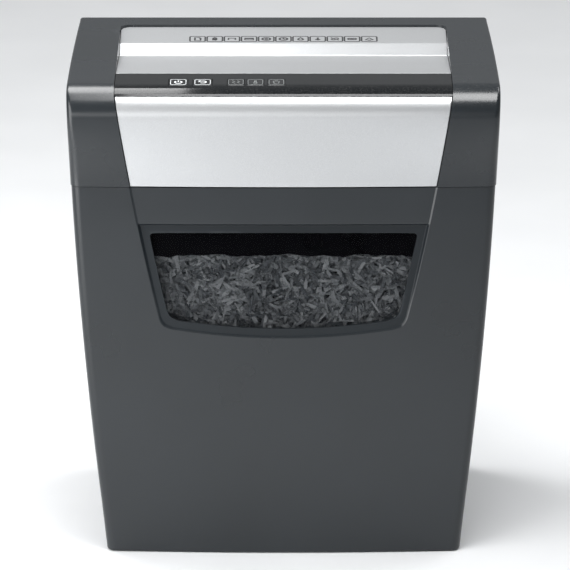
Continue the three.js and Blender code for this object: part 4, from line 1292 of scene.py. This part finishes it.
# ---- top panels --------------------------------------------------------------------------------
# Two silver panels with the paper slot between them, painted like the fascia. The rear one turns
# down at its front edge into the ramp that leads the sheet in; both lie in the housing's frame.
RAMP_TOP_Y = 0.055
RAMP_TOP_Z = 0.4014
RAMP_FOOT_Y = 0.0394
RAMP_FOOT_Z = 0.3942
RAMP_BEND = 0.0012
PANEL_REAR_Z = 0.405
LIP_Y = 0.0314
LIP_Z = 0.3963
LIP_BEND = 0.0015
FLANGE_FOOT_Z = 0.386
SECTION_MARGIN = 0.004
strip_top = HEIGHT - PANEL_SET
rear_y_limit = PANEL_REAR_Y - PANEL_GAP
rear_r = PANEL_CORNER_R - PANEL_GAP


def rounded_turn(before, corner, after, radius):
    """The corner of a section, rounded by a short curve."""
    a, b, c = Vector(before), Vector(corner), Vector(after)
    start = b + (a - b).normalized() * radius
    end = b + (c - b).normalized() * radius
    return curve_through(tuple(start), tuple(b), tuple(end), 5)


def rear_panel_z(y):
    return RAMP_TOP_Z + (PANEL_REAR_Z - RAMP_TOP_Z) * (y - RAMP_TOP_Y) / (PANEL_REAR_Y - RAMP_TOP_Y)


def rear_panel_half(y):
    return opening_half(y, rear_y_limit, rear_r, panel_half)


def front_panel_z(y):
    return strip_top + (LIP_Z - strip_top) * (y - STRIP_REAR_Y) / (LIP_Y - STRIP_REAR_Y)


ramp_foot = (RAMP_FOOT_Y, RAMP_FOOT_Z)
ramp_top = (RAMP_TOP_Y, RAMP_TOP_Z)
rear_ys = [
    *spread(RAMP_TOP_Y + SECTION_MARGIN, rear_y_limit - rear_r, 6),
    *[rear_y_limit - rear_r * (1 - math.sin(math.radians(a))) for a in spread(0, 86, 10)[1:]],
]
rear_section = [
    (RAMP_FOOT_Y, FLANGE_FOOT_Z),
    *rounded_turn((RAMP_FOOT_Y, FLANGE_FOOT_Z), ramp_foot, ramp_top, RAMP_BEND),
    *rounded_turn(ramp_foot, ramp_top, (PANEL_REAR_Y, PANEL_REAR_Z), RAMP_BEND),
    *[(y, rear_panel_z(y)) for y in rear_ys],
]
rear_rows = []
for y, z in rear_section:
    rear_rows.append([(x, y, z) for x in spread(-rear_panel_half(y), rear_panel_half(y), 30)])
rear_top = moulded("rear_top_panel", PANEL_WALL, 0.0004, rear_rows)

front_ys = spread(STRIP_REAR_Y + SECTION_MARGIN, LIP_Y - SECTION_MARGIN, 8)
front_section = [
    (STRIP_REAR_Y + PANEL_GAP, strip_top),
    *[(y, front_panel_z(y)) for y in front_ys],
    *rounded_turn((STRIP_REAR_Y, strip_top), (LIP_Y, LIP_Z), (LIP_Y, FLANGE_FOOT_Z), LIP_BEND),
    (LIP_Y, FLANGE_FOOT_Z),
]
front_rows_top = [[(x, y, z) for x in spread(-panel_half, panel_half, 30)] for y, z in front_section]
front_top = moulded("front_top_panel", PANEL_WALL, 0.0004, front_rows_top)

silver_plastic = flake_paint("silver_plastic", (0.46, 0.47, 0.48), (0.55, 0.56, 0.57), (0.34, 0.40), 0.6, 0.1)
for piece, node in ((rear_top, "rear_panel"), (front_top, "front_panel")):
    piece.data.materials.append(silver_plastic)
    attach(piece, "head")
    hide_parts(node)


# ---- printed signs on the rear panel -----------------------------------------------------------
# A row of eleven small framed signs: what the machine takes, how long it may run and how a sheet
# is fed. They are printed on the silver paint in dark ink.
SIGN_HALF_WIDE = 0.00655
SIGN_HALF_DEEP = 0.0067
SIGN_PITCH = 0.01475
SIGN_MIDDLE_Y = 0.0654


def wave_line(height):
    return [(x, height + 0.12 * math.sin(x * 9)) for x in spread(-0.55, 0.55, 16)]


REAR_SIGNS = {
    "sheet": [[(-0.35, -0.55), (-0.35, 0.55), (0.15, 0.55), (0.38, 0.3), (0.38, -0.55), (-0.35, -0.55)]],
    "clip": [[
        (-0.2, -0.5), (-0.2, 0.35), (0.0, 0.55), (0.2, 0.35),
        (0.2, -0.35), (0.05, -0.5), (-0.05, -0.35), (-0.05, 0.25),
    ]],
    "staple": [[(-0.45, -0.3), (-0.45, 0.3), (0.45, 0.3), (0.45, -0.3)]],
    "card": [
        [(-0.55, -0.35), (0.55, -0.35), (0.55, 0.35), (-0.55, 0.35), (-0.55, -0.35)],
        [(-0.55, 0.12), (0.55, 0.12)],
    ],
    "disc": [circle((0, 0), 0.52), circle((0, 0), 0.14, count=10)],
    "clock": [circle((0, 0), 0.52), [(0, 0.32), (0, 0), (0.25, -0.12)]],
    "drop": [[(0, 0.6), (-0.3, 0.0), *arc((0, -0.12), 0.32, 160, 380, 10), (0, 0.6)]],
    "arrow": [[(0, 0.55), (0, -0.45)], [(-0.3, -0.1), (0, -0.48), (0.3, -0.1)]],
    "wave": [wave_line(0.3), wave_line(-0.25)],
    "blades": [circle((-0.28, 0), 0.25), circle((0.28, 0), 0.25)],
    "fold": [[(-0.5, -0.4), (0, 0.45), (0.5, -0.4)], [(-0.25, -0.45), (0.25, -0.45)]],
}


def rear_place(middle_x):
    def place(u, v):
        y = SIGN_MIDDLE_Y + v * SIGN_HALF_DEEP
        return Vector((middle_x + u * SIGN_HALF_WIDE, y, rear_panel_z(y) + INK_LIFT))

    return place


first_sign_x = -SIGN_PITCH * (len(REAR_SIGNS) - 1) / 2
drawn = bmesh.new()
for item, lines in enumerate(REAR_SIGNS.values()):
    print_sign(drawn, lines, (0.2, 0.27), rear_place(first_sign_x + item * SIGN_PITCH))
dark_ink = ink("dark_ink", (0.02, 0.021, 0.022), (0.5, 0.6))
printed("panel_signs", "head", dark_ink, drawn)


# ---- metal and plastic parts inside ------------------------------------------------------------
# The cutting unit, drive and electrics. Their CAD shapes are right, so they keep them, with
# broken edges and a finish of their own: turned steel, sintered gears, natural and black nylon.
def worked_metal(name, dark, light, gloss, brushed=(1.0, 1.0, 1.0)):
    """Turned or pressed metal: brushed stretches the tool marks along an axis."""
    material, tree, surface = blank_finish(name)
    place = tree.nodes.new("ShaderNodeTexCoord")
    stretch = tree.nodes.new("ShaderNodeMapping")
    stretch.inputs["Scale"].default_value = brushed
    tree.links.new(place.outputs["Object"], stretch.inputs["Vector"])
    marks = noise(tree, stretch.outputs["Vector"], Scale=900.0, Detail=4.0)
    mottle = placed(tree, mould_grain, Cloud_Scale=45.0)
    edges = placed(tree, edge_wear)
    bright = tuple(min(1, c * 1.4) for c in light)
    tone = blended(tree, patches(tree, mottle.outputs["Cloud"]), dark, light)
    tone = blended(tree, ranged(tree, edges.outputs["Mask"], 0.0, 0.6), tone, bright)
    tree.links.new(tone, surface.inputs["Base Color"])
    tree.links.new(patches(tree, marks.outputs[0], *gloss), surface.inputs["Roughness"])
    tree.links.new(bumped(tree, marks.outputs[0], 2e-5), surface.inputs["Normal"])
    surface.inputs["Metallic"].default_value = 1.0
    return material


ALONG_SHAFT = (1.0, 0.05, 0.05)
cutter_steel = worked_metal("cutter_steel", (0.42, 0.43, 0.44), (0.56, 0.57, 0.58), (0.25, 0.42), ALONG_SHAFT)
dark_steel = worked_metal("dark_steel", (0.12, 0.12, 0.125), (0.2, 0.2, 0.21), (0.35, 0.5))
bronze = worked_metal("bronze", (0.42, 0.29, 0.13), (0.55, 0.39, 0.19), (0.3, 0.45))
nylon = moulded_plastic("nylon", (0.66, 0.64, 0.58), (0.74, 0.72, 0.66), (0.42, 0.55))
black_nylon = moulded_plastic(
    "black_nylon", (0.012, 0.012, 0.013), (0.020, 0.020, 0.021), (0.45, 0.6), grain=1400.0, relief=5e-5
)
board_green = moulded_plastic("board", (0.012, 0.075, 0.035), (0.02, 0.11, 0.05), (0.35, 0.5))
INSIDE = (
    (cutter_steel, "front_cutter rear_cutter motor left_side_plate right_side_plate"),
    (cutter_steel, "idler_axle_1 idler_axle_2"),
    (dark_steel, "front_sync_gear rear_sync_gear final_gear motor_rotor gear_cover"),
    (dark_steel, "tie_rod_1 tie_rod_2 tie_rod_3 base_screw_1 base_screw_2 base_screw_3 base_screw_4"),
    (bronze, "left_front_bush left_rear_bush right_front_bush right_rear_bush"),
    (nylon, "idler_gear_1 idler_gear_2"),
    (black_nylon, "head_base front_comb rear_comb front_paper_guide rear_paper_guide paper_feeler"),
    (black_nylon, "interlock_switch mains_switch_frame mains_rocker cord_gland"),
    (board_green, "control_board power_board"),
)
for finish, node_names in INSIDE:
    for node in node_names.split():
        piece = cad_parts[node]
        piece.data.shade_smooth()
        broken_edges(piece, 0.0003, angle=32)
        piece.data.materials.clear()
        piece.data.materials.append(finish)
